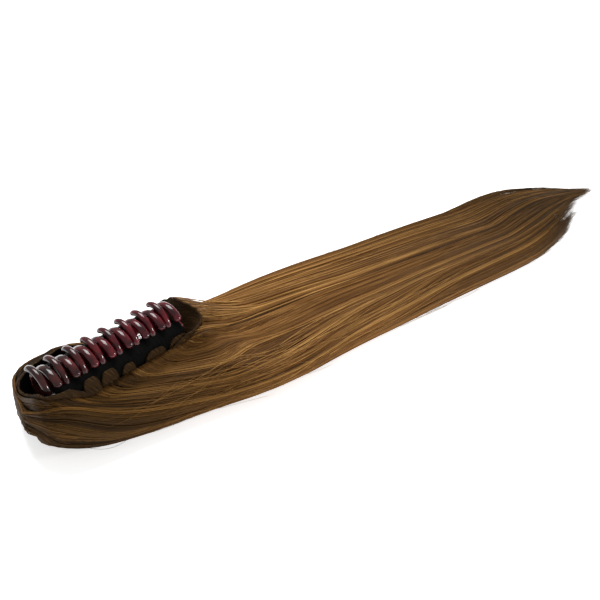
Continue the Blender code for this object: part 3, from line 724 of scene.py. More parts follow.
def make_plate(side):
    """The jaw's curved plate, waist and finger handle, drawn out as one sheet and given its wall."""
    radius = BELLY_RADIUS - JAW_WALL / 2
    start = facing(side, PLATE_TOP_ANGLE)
    y, z = polar(radius, 0, BELLY_Z, start)
    strip = 2.0
    deselect_all()
    bpy.ops.mesh.primitive_plane_add(size=1, location=(0, y, z), rotation=(math.radians(start + 90), 0, 0))
    plate = newest("plate")
    plate.scale = (PLATE_END_X[side][1] - PLATE_END_X[side][0], strip, 1)
    plate.location.x = sum(PLATE_END_X[side]) / 2
    apply_place(plate)
    lowest = min(vertex.co.z for vertex in plate.data.vertices)
    edit_vertices(plate, lambda co: co.z < lowest + strip / 4)
    turn = side * (JAW_LOW_ANGLE - PLATE_TOP_ANGLE - 4)
    bpy.ops.mesh.spin(steps=8, angle=math.radians(turn), center=(0, 0, BELLY_Z), axis=(1, 0, 0))
    y, z = edge_middle(plate)
    route = [(WAIST[0] + 0.4, WAIST[1] + 0.6, 0.9)]
    widths = (0.74, 0.92, 0.98, 0.96)
    route += [(place[0], place[1], width) for place, width in zip(HANDLE_PROFILE, widths)]
    for next_y, next_z, narrower in route:
        move = (0, side * next_y - y, next_z - z)
        bpy.ops.mesh.extrude_region_move(TRANSFORM_OT_translate={"value": move})
        bpy.ops.transform.resize(value=(narrower, 1, 1), center_override=(0, side * next_y, next_z))
        y, z = side * next_y, next_z
    bpy.ops.object.mode_set(mode="OBJECT")
    highest = max(vertex.co.z for vertex in plate.data.vertices)
    edit_vertices(plate, lambda co: co.z > highest - strip / 4)
    y, z = edge_middle(plate)
    inner_y, inner_z = PLATE_SHOULDER[side]
    move = (0, side * inner_y - y, inner_z - z)
    bpy.ops.mesh.extrude_region_move(TRANSFORM_OT_translate={"value": move})
    bpy.ops.object.mode_set(mode="OBJECT")
    thicken(plate, JAW_WALL)
    ease_edges(plate, 0.6)
    apply_modifiers(plate)
    edit_faces(plate, lambda face: True)
    bpy.ops.mesh.normals_make_consistent(inside=False)
    bpy.ops.object.mode_set(mode="OBJECT")
    return plate


def edge_middle(piece):
    """The middle of what is selected in edit mode, in Y and Z."""
    piece.update_from_editmode()
    chosen = [vertex.co for vertex in piece.data.vertices if vertex.select]
    return sum(co.y for co in chosen) / len(chosen), sum(co.z for co in chosen) / len(chosen)


def make_knuckle(x):
    """One hinge knuckle with its bore."""
    deselect_all()
    bpy.ops.mesh.primitive_cylinder_add(
        vertices=28, radius=KNUCKLE_RADIUS, depth=KNUCKLE_LENGTH, location=(x, 0, HINGE_Z),
        rotation=(0, math.pi / 2, 0),
    )
    knuckle = newest("knuckle")
    apply_place(knuckle)
    edit_faces(knuckle, lambda face: abs(face.normal.x) > 0.9)
    bpy.ops.mesh.inset(thickness=KNUCKLE_RADIUS - PIN_RADIUS - 0.3)
    bpy.ops.mesh.bridge_edge_loops()
    bpy.ops.object.mode_set(mode="OBJECT")
    ease_edges(knuckle, 0.25)
    apply_modifiers(knuckle)
    return knuckle


def tooth_places(side):
    """Where one jaw's teeth stand along X. The two jaws' teeth are half a pitch apart."""
    half_row = TOOTH_PITCH * (TEETH_PER_JAW - 0.5) / 2
    shift = 0 if side < 0 else TOOTH_PITCH / 2
    return [-half_row + shift + TOOTH_PITCH * index for index in range(TEETH_PER_JAW)]


def make_jaw(name, node, side, body, material):
    """One jaw of the claw: its plate with the handle, its row of teeth and its two knuckles."""
    tooth = make_tooth(side)
    pieces = [make_plate(side)]
    pieces += [copy_along(tooth, x) for x in tooth_places(side)]
    pieces += [make_knuckle(end * KNUCKLE_X[side]) for end in (-1, 1)]
    bpy.data.objects.remove(tooth, do_unlink=True)
    jaw = join(name, pieces)
    shade_round(jaw)
    settle(jaw, body, "claw_plastic", material, node)


def make_hinge(material):
    """The hinge pin with its two heads, and the torsion spring wound on it."""
    deselect_all()
    bpy.ops.mesh.primitive_cylinder_add(
        vertices=20, radius=PIN_RADIUS, depth=2 * PIN_HALF_LENGTH, location=(0, 0, HINGE_Z),
        rotation=(0, math.pi / 2, 0),
    )
    pin = newest("pin")
    apply_place(pin)
    pieces = [pin]
    for end in (-1, 1):
        deselect_all()
        x = end * (PIN_HALF_LENGTH - PIN_HEAD_LENGTH / 2)
        bpy.ops.mesh.primitive_cylinder_add(
            vertices=24, radius=PIN_HEAD_RADIUS, depth=PIN_HEAD_LENGTH, location=(x, 0, HINGE_Z),
            rotation=(0, math.pi / 2, 0),
        )
        head = newest("pin_head")
        apply_place(head)
        ease_edges(head, 0.4)
        apply_modifiers(head)
        pieces.append(head)
    pieces.append(make_spring())
    hinge = join("hinge_pin_and_spring", pieces)
    shade_round(hinge)
    settle(hinge, "hairpiece", "steel", material, "hinge_pin")


def make_spring():
    """The torsion spring: a wire's round section wound along the pin by a screw."""
    deselect_all()
    bpy.ops.mesh.primitive_circle_add(
        vertices=8, radius=SPRING_WIRE, location=(-SPRING_HALF_LENGTH, SPRING_RADIUS, 0)
    )
    spring = newest("spring")
    apply_place(spring)
    winding = spring.modifiers.new("winding", "SCREW")
    winding.axis = "X"
    winding.angle = 2 * math.pi * SPRING_TURNS
    winding.screw_offset = 2 * SPRING_HALF_LENGTH
    winding.steps = 14 * SPRING_TURNS
    winding.render_steps = winding.steps
    apply_modifiers(spring)
    bpy.ops.object.mode_set(mode="EDIT")
    bpy.ops.mesh.select_all(action="SELECT")
    bpy.ops.mesh.fill_holes(sides=0)
    bpy.ops.mesh.select_all(action="SELECT")
    bpy.ops.mesh.normals_make_consistent(inside=False)
    bpy.ops.object.mode_set(mode="OBJECT")
    spring.data.transform(Matrix.Translation((0, 0, HINGE_Z)))
    return spring


# Net and weft

def cloth_grid(name, columns, rows, place, closed=False):
    """A sheet of cells, each corner at place(column, row) in mm, with a map in mm for its weave."""
    count = columns if closed else columns + 1
    points = np.array([[place(column, row) for column in range(count)] for row in range(rows + 1)])
    faces = []
    for row in range(rows):
        for column in range(columns):
            following = (column + 1) % count
            faces.append(
                (
                    row * count + column,
                    row * count + following,
                    (row + 1) * count + following,
                    (row + 1) * count + column,
                )
            )
    sheet = new_piece(name, points.reshape(-1, 3), faces)
    along = np.linalg.norm(np.roll(points, -1, axis=1) - points, axis=2)
    along = np.concatenate([np.zeros((rows + 1, 1)), np.cumsum(along, axis=1)], axis=1)
    up = np.linalg.norm(np.diff(points, axis=0), axis=2)
    up = np.concatenate([np.zeros((1, count)), np.cumsum(up, axis=0)], axis=0)
    cloth = sheet.data.uv_layers.new(name="cloth")
    for face in sheet.data.polygons:
        row, column = divmod(face.index, columns)
        corners = [(row, column), (row, column + 1), (row + 1, column + 1), (row + 1, column)]
        for loop, (at_row, at_column) in zip(face.loop_indices, corners):
            cloth.data[loop].uv = (along[at_row, at_column], up[at_row, at_column % count])
    return sheet


def make_net(name, node, side, body, material):
    """Net sewn over the outside of one jaw, lightly puckered."""
    profile = [(side * y, z) for y, z in NET_TOP_PLACES[side]]
    belly_angles = np.linspace(NET_TOP_ANGLE, 182, 5)
    profile += [polar(NET_RADIUS, 0, BELLY_Z, facing(side, angle)) for angle in belly_angles]
    profile += [(side * y, z) for y, z in NET_LOW_PLACES[side]]
    profile = np.array(profile)
    lengths = np.concatenate([[0], np.cumsum(np.linalg.norm(np.diff(profile, axis=0), axis=1))])
    rows = 14
    columns = 120
    first_x, last_x = NET_END_X[side]

    def place(column, row):
        at = lengths[-1] * row / rows
        x = first_x + (last_x - first_x) * column / columns
        pucker = 0.22 * math.sin(x * 1.9) * math.cos(row * 0.7) + 0.15 * math.sin(x * 0.83 + row)
        y = np.interp(at, lengths, profile[:, 0]) + side * pucker
        return x, y, np.interp(at, lengths, profile[:, 1])

    net = cloth_grid(name, columns, rows, place)
    thicken(net, NET_WALL)
    apply_modifiers(net)
    shade_round(net, 60)
    settle(net, body, "black_net", material, node)


def well_point(z, turn, inset=0.0):
    """A place on the hollow's wall in plan, at a height and an angle in radians."""
    heights = [row[0] for row in WELL_RINGS]
    near, far, left, right = (np.interp(z, heights, side) for side in list(zip(*WELL_RINGS))[1:])
    power = WELL_CORNERS[(math.cos(turn) > 0, math.sin(turn) > 0)]
    reach = (abs(math.cos(turn)) ** power + abs(math.sin(turn)) ** power) ** (-1 / power)
    x = (left + right) / 2 + ((right - left) / 2 - inset) * reach * math.cos(turn)
    y = (near + far) / 2 + ((far - near) / 2 - inset) * reach * math.sin(turn)
    return x, y


def weft_edges(degrees):
    """The top and low edge of the weft at a place round it."""
    turns, tops, lows = zip(*WEFT_EDGE)
    return np.interp(degrees, turns, tops, period=360), np.interp(degrees, turns, lows, period=360)


def weft_point(degrees, z, inset=WEFT_INSET):
    """The middle of the weft at one place round the hollow, leaning in over the jaw where it is high."""
    spread_out = math.exp(-(((degrees - EAR_FLARE_TURN) / EAR_FLARE_WIDTH) ** 2))
    flare = EAR_FLARE * spread_out * min(max((z - EAR_FLARE_LOW_Z) / EAR_FLARE_RISE, 0), 1)
    x, y = well_point(z, math.radians(degrees), inset - flare)
    if x < EAR_START_X:
        over_belly = WEFT_LEAN_RADIUS**2 - max(0.0, z - BELLY_Z) ** 2
        y = max(y, -math.sqrt(over_belly))
    return np.array([x, y, z])


def paint_hollow_shade(piece, material, hollow_shade_net, end_x):
    """Give the faces that look into the hollow, up to a place along X, the black net as painted shade of the
    hollow. The rest get the material.
    """
    piece.data.materials.append(material)
    piece.data.materials.append(hollow_shade_net)
    middle_x, middle_y = WELL_MIDDLE
    for face in piece.data.polygons:
        inwards = Vector((middle_x - face.center.x, middle_y - face.center.y, 0)).normalized()
        face.material_index = int(face.center.x < end_x and face.normal.dot(inwards) > HOLLOW_SHADE_FACING)


def make_weft_band(material, hollow_shade_net):
    """The sewn weft round the hollow, with its ear at the tail end."""
    columns = 260
    rows = 10

    def place(column, row):
        degrees = 360 * column / columns
        top, low = weft_edges(degrees)
        # the sewn edge is a little uneven
        top += 0.35 * math.sin(column * 0.9) + 0.25 * math.sin(column * 0.37)
        return weft_point(degrees, low + (top - low) * row / rows)

    band = cloth_grid("weft_band_fibres", columns, rows, place, closed=True)
    thicken(band, WEFT_WALL)
    ease_edges(band, 0.3, segments=2, angle=60)
    apply_modifiers(band)
    # the faces inside the hollow, up to the ear, get the black net as painted shade
    paint_hollow_shade(band, material, hollow_shade_net, EAR_START_X)
    shade_round(band, 60)
    settle(band, "hairpiece", "brown_weft", material, "weft_band")


def tab_point(tab, across, height):
    """A place on one tab: across from -1 to 1, height from 0 at its foot to 1 at its rim."""
    middle_x, half_width, low_z, peak_z = tab
    crest = 0.22 + 0.78 * math.sqrt(max(0.0, 1 - across**4))
    z = low_z + (peak_z - low_z) * crest * height
    x = middle_x + half_width * across * (1 - 0.12 * height)
    lean = max(0.0, 1 - (z - low_z) / TAB_REACH)
    arc = math.sqrt(TAB_RADIUS**2 - max(0.0, z - BELLY_Z) ** 2)
    return np.array([x, -(arc + TAB_FLARE * lean**1.6), z])


def make_weft_tab(index, tab, material):
    """A rounded tab of the weft that lies over the net, flared out at its foot."""
    columns = 28
    rows = 12
    sheet = cloth_grid(
        f"weft_tab_{index}_fibres", columns, rows,
        lambda column, row: tab_point(tab, 2 * column / columns - 1, row / rows),
    )
    thicken(sheet, TAB_WALL)
    ease_edges(sheet, 0.25, segments=2, angle=60)
    apply_modifiers(sheet)
    shade_round(sheet, 60)
    settle(sheet, "hairpiece", "brown_weft", material, f"weft_tab_{index}")


# The hair's form

def section_rows(at):
    """The hair's sections at any X, on smooth curves through the table's rows."""
    table = np.array(HAIR_SECTIONS)
    places, values = table[:, 0], table[:, 1:]
    slopes = np.diff(values, axis=0) / np.diff(places)[:, None]
    product = slopes[:-1] * slopes[1:]
    total = slopes[:-1] + slopes[1:]
    inner = np.where(product > 0, 2 * product / np.where(product > 0, total, 1), 0)
    tangents = np.concatenate([slopes[:1], inner, slopes[-1:]])
    start = np.clip(np.searchsorted(places, at, side="right") - 1, 0, len(places) - 2)
    width = (places[start + 1] - places[start])[:, None]
    t = (at - places[start])[:, None] / width
    return (
        (2 * t**3 - 3 * t**2 + 1) * values[start]
        + (t**3 - 2 * t**2 + t) * width * tangents[start]
        + (3 * t**2 - 2 * t**3) * values[start + 1]
        + (t**3 - t**2) * width * tangents[start + 1]
    )


def section_controls(rows):
    """The points that each section's outline runs through, from the near foot over the top."""
    floor, near_foot, near, near_rim_y, near_rim_z, crown_y, crown_z, far_rim_y, far_rim_z, far = rows.T
    far_foot = far - FAR_FOOT_SHARE * (far - far_rim_y) - FAR_FOOT_INSET
    points = [
        (near + foot * (near_foot - near) + rim * (near_rim_y - near), floor + up * (near_rim_z - floor))
        for foot, rim, up in NEAR_SIDE
    ]
    points += [
        ((near_rim_y + crown_y) / 2, near_rim_z + SHOULDER_HEIGHT * (crown_z - near_rim_z)),
        (crown_y, crown_z),
        ((far_rim_y + crown_y) / 2, far_rim_z + SHOULDER_HEIGHT * (crown_z - far_rim_z)),
    ]
    points += [
        (far + foot * (far_foot - far) + rim * (far_rim_y - far), floor + up * (far_rim_z - floor))
        for foot, rim, up in FAR_SIDE[::-1]
    ]
    return np.array(points).transpose(2, 0, 1)


def outline_weights(shares):
    """How much each control point counts at each share of the way round a section."""
    weights = np.zeros((len(shares), STRETCHES[-1][3] + 1))
    for row, share in zip(weights, shares):
        low, high, first, last = next(item for item in STRETCHES if share <= item[1] + 1e-9)
        place = (last - first) * (share - low) / (high - low)
        start = min(int(place), last - first - 1)
        t = place - start
        row[first + max(start - 1, 0)] += 0.5 * (-t + 2 * t**2 - t**3)
        row[first + start] += 0.5 * (2 - 5 * t**2 + 3 * t**3)
        row[first + start + 1] += 0.5 * (t + 4 * t**2 - 3 * t**3)
        row[first + min(start + 2, last - first)] += 0.5 * (t**3 - t**2)
    return weights


def parting(x, y):
    """The depth of the crease where the near side's hair meets the rest."""
    (start_x, start_y), (end_x, end_y) = PARTING_START, PARTING_END
    along = np.clip((x - start_x) / (end_x - start_x), 0, 1)
    middle_y = start_y + (end_y - start_y) * along
    return PARTING_DEPTH * np.sin(np.pi * along**0.6) * np.exp(-(((y - middle_y) / PARTING_WIDTH) ** 2))


def hair_tables():
    """The hair's outline at each X and share, first smooth and then with its locks and creases."""
    rows = section_rows(GRID_X)
    smooth = np.einsum("sc,xck->xsk", outline_weights(GRID_SHARES), section_controls(rows))
    floor, near, crown_z, far = (rows[:, column, None] for column in (0, 2, 6, 9))
    x, share = GRID_X[:, None], GRID_SHARES[None, :]
    outwards = np.stack([smooth[..., 0] - (near + far) / 2, smooth[..., 1] * 1.5], axis=-1)
    outwards /= np.linalg.norm(outwards, axis=-1, keepdims=True)
    locks = np.abs(np.sin(np.pi * (LOCKS_ACROSS * share + 0.12 * np.sin(x / 70))))
    fine_locks = np.abs(np.sin(np.pi * (FINE_LOCKS_ACROSS * share + 0.6 * np.sin(x / 50))))
    relief = LOCK_DEPTH * (locks - 1) + FINE_LOCK_DEPTH * (fine_locks - 1) - parting(x, smooth[..., 0])
    relief *= np.minimum(1, crown_z / FULL_RELIEF_HEIGHT)
    shaped = smooth + outwards * relief[..., None]
    shaped[..., 1] = np.maximum(shaped[..., 1], floor)
    return smooth, shaped


SMOOTH_HAIR, SHAPED_HAIR = hair_tables()


def on_hair(table, x, share):
    """Places on the hair's surface, read between the points of a table."""
    across = np.clip(share, 0, 1) * (len(GRID_SHARES) - 1)
    along = np.clip((x - GRID_X[0]) / GRID_STEP, 0, len(GRID_X) - 1)
    column = np.minimum(across.astype(int), len(GRID_SHARES) - 2)
    row = np.minimum(along.astype(int), len(GRID_X) - 2)
    s = (across - column)[..., None]
    t = (along - row)[..., None]
    low = (1 - s) * table[row, column] + s * table[row, column + 1]
    high = (1 - s) * table[row + 1, column] + s * table[row + 1, column + 1]
    return np.concatenate([x[..., None], (1 - t) * low + t * high], axis=-1)


def hair_normal(x, share):
    """The way out of the smooth surface."""
    along = on_hair(SMOOTH_HAIR, x + 3, share) - on_hair(SMOOTH_HAIR, x - 3, share)
    across = on_hair(SMOOTH_HAIR, x, share + 0.01) - on_hair(SMOOTH_HAIR, x, share - 0.01)
    normal = np.cross(along, across)
    return normal / np.linalg.norm(normal, axis=-1, keepdims=True)


def make_hair_mass(material, hollow_shade_net):
    """The body of hair under the strands, with the hollow that the claw stands in, its inside painted with
    the black net as shade.
    """
    places = np.append(np.arange(GRID_X[0], BODY_END_X - MASS_STEP / 2, MASS_STEP), BODY_END_X)
    shares = np.linspace(0, 1, MASS_COLUMNS)
    x, share = np.meshgrid(places, shares, indexing="ij")
    points = on_hair(SHAPED_HAIR, x, share).reshape(-1, 3)
    mass = new_piece("hair_mass", points, tube_faces(len(places), MASS_COLUMNS))
    heights = [row[0] for row in WELL_RINGS]
    turns = -2 * np.pi * np.arange(WELL_SIDES) / WELL_SIDES
    well_points = [(*well_point(z, turn), z) for z in heights for turn in turns]
    well = new_piece("well_cutter", well_points, tube_faces(len(heights), WELL_SIDES))
    cut = mass.modifiers.new("well", "BOOLEAN")
    cut.operation = "DIFFERENCE"
    cut.solver = "EXACT"
    cut.object = well
    apply_modifiers(mass)
    bpy.data.objects.remove(well, do_unlink=True)
    # the faces inside the hollow get the black net as painted shade
    paint_hollow_shade(mass, material, hollow_shade_net, WELL_END_X)
    streaks = mass.data.uv_layers.new(name="hair")
    for loop in mass.data.loops:
        x, y, z = mass.data.vertices[loop.vertex_index].co
        streaks.data[loop.index].uv = (x, y + 0.7 * z)
    shade_round(mass, 50)
    settle(
        mass, "hairpiece", "brown_hair", material,
        "hair_near_wall", "hair_far_wall", "hair_under_clip", "hair_tail",
    )


def tube_faces(rings, sides):
    """The faces of a closed tube through rings of points, with flat ends."""
    faces = []
    for ring in range(rings - 1):
        for side in range(sides):
            following = (side + 1) % sides
            start = ring * sides
            faces.append((start + side, start + sides + side, start + sides + following, start + following))
    faces.append(tuple(range(sides)))
    faces.append(tuple(range(rings * sides - 1, (rings - 1) * sides - 1, -1)))
    return faces


# Strands

def near_share(rank, x):
    """Where a strand of the near side lies. Ranks run from 0 at the foot to 1 for the last at the rim."""
    come = NEAR_WRAP_PART + (1 - NEAR_WRAP_PART) * rim_progress(x)
    own = np.minimum(rank / come, 1.0)
    over_rim = group_edge(NEAR_GROUP_EDGE, x) - NEAR_RIM_SHARE
    return NEAR_RIM_SHARE * own + over_rim * own ** np.interp(x, *FAN_POWER)


def far_share(rank, x):
    """Where a strand of the far side lies. Ranks run from 0 at the foot to 1 for the last at the rim."""
    come = FAR_WRAP_PART + (1 - FAR_WRAP_PART) * rim_progress(x)
    return 1 - (1 - group_edge(FAR_GROUP_EDGE, x)) * np.minimum(rank / come, 1.0)


def ear_share(rank, x):
    """Where a strand from the ear lies, between the near side's and the far side's hair."""
    near, far = group_edge(NEAR_GROUP_EDGE, x), group_edge(FAR_GROUP_EDGE, x)
    return near + rank * (far - near)


def rim_progress(x):
    """How much of the rim is behind, as a share of it."""
    return np.clip((x - RIM_START_X) / (RIM_END_X - RIM_START_X), 0, 1)


def group_edge(edge, x):
    """The share of a group's edge at places along X."""
    places, shares = zip(*edge)
    return np.interp(x, places, shares)


def longest_reach(share):
    """How far along X the longest strands go."""
    shares, reaches = zip(*LONGEST)
    return np.interp(share, shares, reaches)


class Lock:
    """What the strands of one lock share: their wander, their height, their tone and how much shorter they
    are.
    """

    def __init__(self, random):
        self.wave = random.uniform(55, 130)
        self.phase = random.uniform(0, 2 * np.pi)
        self.sway = random.uniform(0.001, 0.005)
        self.height = random.uniform(0.1, 1.2)
        self.tone = random.normal(0.5, 0.14)
        self.shorter = random.exponential(LOCK_SHORTER)

    def wander(self, x):
        """The lock's sideways sway along X, as a share."""
        return self.sway * np.sin(x / self.wave * 2 + self.phase)


def lock_offsets(random):
    """For each strand of a lock: its place across the lock, from -1 to 1, and its height in it."""
    across = np.clip(random.normal(0, 0.5, STRANDS_A_LOCK), -1, 1)
    height = np.sqrt(1 - across**2) * random.uniform(0.1, 1.0, STRANDS_A_LOCK)
    return zip(across, height)


def lay(x, share, height):
    """Places along a strand at a height above the surface, kept off the floor."""
    places = on_hair(SHAPED_HAIR, x, share) + hair_normal(x, share) * height[..., None]
    places[..., 2] = np.maximum(places[..., 2], STRAND_RADIUS[1])
    return places


def free_end(path, random):
    """A strand whose last stretch leaves the others a little and sinks to the floor."""
    free = np.clip((path[:, 0] - path[-1, 0]) / FREE_LENGTH + 1, 0, 1) ** 2
    path[:, 1] += FREE_SWAY * random.normal() * free
    path[:, 2] *= 1 - FREE_SINK * free
    return np.maximum(path, [-np.inf, -np.inf, STRAND_RADIUS[1]])


def tail_places(start_x, share_at, lock, random):
    """The X places from a strand's start to its tip."""
    share = float(share_at(np.array(400.0)))
    end_x = longest_reach(share) - lock.shorter - random.exponential(STRAND_SHORTER)
    return np.linspace(start_x, end_x, max(int((end_x - start_x) / 6), 8))


def close_up(x):
    """How wide a lock is along X: it spreads from the clip and closes up towards the tips."""
    return np.interp(x, [-60, 60, 250, 450], [1.0, 1.0, 1.15, 0.7])


def flow(start_x, share_at, lock, across, height, width, random):
    """A strand's way along the surface from one X to its tip."""
    x = tail_places(start_x, share_at, lock, random)
    share = share_at(x) + lock.wander(x) + width * across * close_up(x)
    share += 0.0015 * np.sin(x / 23 + 9 * across)
    path = lay(x, np.clip(share, 0.002, 0.998), lock.height + LOCK_THICKNESS * height + 0 * x)
    return free_end(path, random)


def round_left_end(share_near, share_far, start_x, height):
    """The way round the left end, from the far side to the near side."""
    out = np.arange(start_x, GRID_X[0], -END_STEP)
    back = np.arange(GRID_X[0], RIM_START_X, END_STEP)
    far = lay(out, np.full(len(out), share_far), np.full(len(out), height))
    near = lay(back, np.full(len(back), share_near), np.full(len(back), height))
    bulge = np.sin(np.pi * END_CAP_STEPS) * (END_BULGE + height)
    cap = far[-1] + (near[0] - far[-1]) * END_CAP_STEPS
    cap[:, :1] -= bulge
    return np.concatenate([far, cap]), near


def near_wrap(random):
    """Locks that come round the left end and run along the near side."""
    for rank in NEAR_WRAP_PART * spread(LOCKS["near_wrap"], random):
        lock = Lock(random)
        # the lower the lock, the more painted shade
        lock.tone -= LOW_LOCKS_PAINTED_SHADE * (1 - rank / NEAR_WRAP_PART)
        start_x = random.uniform(*NEAR_WRAP_START_X)
        for across, height in lock_offsets(random):
            own = np.clip(rank + NEAR_WRAP_WIDTH * across, LOWEST_RANK, NEAR_WRAP_PART)
            up = own / NEAR_WRAP_PART
            lift = lock.height + LOCK_THICKNESS * height
            far_share_there = 1 - (1 - FAR_RIM_SHARE) * up
            far, near = round_left_end(NEAR_RIM_SHARE * up, far_share_there, start_x, lift)
            rest = flow(RIM_START_X, lambda x: near_share(own, x), lock, 0, height, 0, random)
            yield np.concatenate([far, near, rest]), lock.tone


def far_wrap(random):
    """Locks that come round the left end and run along the far side."""
    for rank in FAR_WRAP_PART * spread(LOCKS["far_wrap"], random):
        lock = Lock(random)
        start_x = random.uniform(*FAR_WRAP_START_X)
        for across, height in lock_offsets(random):
            own = np.clip(rank + FAR_WRAP_WIDTH * across, LOWEST_RANK, FAR_WRAP_PART)
            up = own / FAR_WRAP_PART
            lift = lock.height + LOCK_THICKNESS * height
            far_share_there = 1 - (1 - FAR_RIM_SHARE) * up
            far, near = round_left_end(NEAR_RIM_SHARE * up, far_share_there, RIM_START_X, lift)
            rest = flow(RIM_START_X, lambda x: far_share(own, x), lock, 0, height, 0, random)
            start = near[: max(int((start_x - GRID_X[0]) / END_STEP), 2)][::-1]
            yield np.concatenate([start, far[::-1], rest]), lock.tone


def near_root(place):
    """Where a strand of the near rim starts: on the weft's edge, or on a tab."""
    xs, heights = zip(*NEAR_ROOT_Z)
    return np.array([place[0] - 2.5, NEAR_ROOT_Y, np.interp(place[0], xs, heights)])


def far_root(place):
    """Where a strand of the far rim starts: under the weft's edge."""
    return place + [-2.0, FAR_ROOT_INWARDS, -3.0]


def rim_locks(count, wrap_part, share_at, root_at, random):
    """Locks that come over the rim of the hollow from the weft."""
    for progress in spread(count, random):
        lock = Lock(random)
        rank = wrap_part + (1 - wrap_part) * progress
        start_x = RIM_START_X + (RIM_END_X - RIM_START_X) * progress
        for across, height in lock_offsets(random):
            own_x = start_x + RIM_LOCK_SPREAD * across
            path = flow(own_x, lambda x: share_at(rank, x), lock, across, height, RIM_LOCK_WIDTH, random)
            yield np.concatenate([[root_at(path[0])], path]), lock.tone


def left_rim(random):
    """Locks that follow the edge of the hollow round the left end."""
    for depth in spread(LOCKS["left_rim"], random):
        lock = Lock(random)
        # painted shade on the locks round the left rim
        lock.tone -= LEFT_RIM_PAINTED_SHADE
        first_turn = random.uniform(*LEFT_RIM_FIRST_TURN)
        for across, height in lock_offsets(random):
            turns = np.arange(first_turn, LEFT_RIM_LAST_TURN, LEFT_RIM_TURN_STEP)
            z = weft_edges(turns)[0] - 1.5 - LEFT_RIM_DEPTH * depth - 0.8 * across
            outwards = -0.4 - 1.2 * height - LEFT_RIM_SLOPE * depth
            places = zip(turns, z)
            edge = np.array([(*well_point(low, math.radians(turn), outwards), low) for turn, low in places])
            rank = NEAR_WRAP_PART * (1.12 - 0.3 * depth)
            rest = flow(
                LEFT_RIM_JOIN_X, lambda x: near_share(rank, x), lock, across, height, LEFT_RIM_WIDTH, random
            )
            yield np.concatenate([edge, rest]), lock.tone


def ear_locks(random):
    """Locks that start on the outside of the ear at the tail end and sweep down on the tail."""
    for rank in spread(LOCKS["ear"], random):
        lock = Lock(random)
        lock.tone += EAR_LIGHTER
        degrees = EAR_TURNS[0] + (EAR_TURNS[1] - EAR_TURNS[0]) * rank
        reach = random.uniform(*EAR_SWEEP)
        for across, height in lock_offsets(random):
            turn = degrees + 3 * across
            top = weft_edges(turn)[0]
            z = top - random.uniform(*EAR_ROOT_BELOW_EDGE)
            start = weft_point(turn % 360, z, 0.2)
            path = flow(
                start[0] + 1, lambda x: ear_share(rank, x), lock, across, height, RIM_LOCK_WIDTH, random
            )
            fade = np.clip((path[:, :1] - start[0]) / reach, 0, 1)
            path += (start - path[0]) * (1 - fade) ** 2 * (1 + 2 * fade)
            path[0] = start - [1.0, 0, 0]
            yield path, lock.tone


def crossing_strands(random):
    """Long light strands that lie across the near side's locks."""
    for _ in range(CROSSING_STRANDS):
        lock = Lock(random)
        low = random.uniform(*CROSSING_SHARE)
        rise = random.uniform(*CROSSING_RISE)
        start_x, end_x = random.uniform(*CROSSING_START_X), random.uniform(*CROSSING_END_X)
        x = np.linspace(start_x, end_x, CROSSING_POINTS)
        share = low + rise * np.linspace(0, 1, CROSSING_POINTS) ** 1.3
        yield lay(x, share, CROSSING_HEIGHT + 0.5 * np.sin(x / 40 + lock.phase)), CROSSING_TONE


def flyaways(random):
    """Single hairs that stand off the rest."""
    for _ in range(FLYAWAYS):
        length = random.uniform(*FLYAWAY_LENGTH)
        start_x = random.uniform(*FLYAWAY_START_X)
        x = np.linspace(start_x, start_x + length, FLYAWAY_POINTS)
        t = np.linspace(0, 1, FLYAWAY_POINTS)
        highest = NEAR_RIM_SHARE - 0.04 if start_x < CLIP_END_X else 0.94
        share = random.uniform(0.06, highest) + random.normal(0, 0.03) * t**1.5
        height = 0.5 + random.uniform(*FLYAWAY_HEIGHT) * np.sin(np.pi * t * random.uniform(0.5, 0.95))
        yield lay(x, share, height), FLYAWAY_TONE


def spread(count, random):
    """Places from 0 to 1, evenly spread and a little uneven."""
    return (np.arange(count) + random.uniform(0.15, 0.85, count)) / count


def resample(path, steps):
    """A smoothed path with a fixed number of points, closer together round the clip."""
    for _ in range(2):
        path[1:-1] = (path[:-2] + 2 * path[1:-1] + path[2:]) / 4
    lengths = np.linalg.norm(np.diff(path, axis=0), axis=1)
    middles = (path[1:, 0] + path[:-1, 0]) / 2
    effort = lengths * np.where(middles < CLIP_END_X, 3.0, 1.0)
    run = np.concatenate([[0], np.cumsum(effort)])
    at = np.linspace(0, run[-1], steps)
    return np.stack([np.interp(at, run, path[:, axis]) for axis in range(3)], axis=1)


def make_strands(name, strands, steps, radii, random, material):
    """Build strands as thin three-sided tubes, in pieces of a moderate size."""
    for first in range(0, len(strands), MAX_STRANDS_A_PIECE):
        batch = strands[first : first + MAX_STRANDS_A_PIECE]
        paths = np.array([resample(path, steps) for path, _ in batch])
        tones = np.array([tone for _, tone in batch])[:, None]
        tones = tones + random.normal(0, 0.1, tones.shape) + random.normal(0, 0.03, (1, steps))
        along = np.linspace(0, 1, steps)[None, :]
        taper = np.minimum(1, np.minimum(along / ROOT_TAPER, (1 - along) / TIP_TAPER) + 0.15)
        thickness = random.uniform(*radii, (len(batch), 1)) * taper
        label = f"{name}_{first // MAX_STRANDS_A_PIECE + 1}"
        piece = new_piece(label, *tubes(paths, thickness))
        tone = piece.data.attributes.new("tone", "FLOAT", "POINT")
        tone.data.foreach_set("value", np.repeat(np.clip(tones, 0, 1).ravel(), STRAND_SIDES))
        piece.data.shade_smooth()
        settle(piece, "hairpiece", "brown_hair", material)


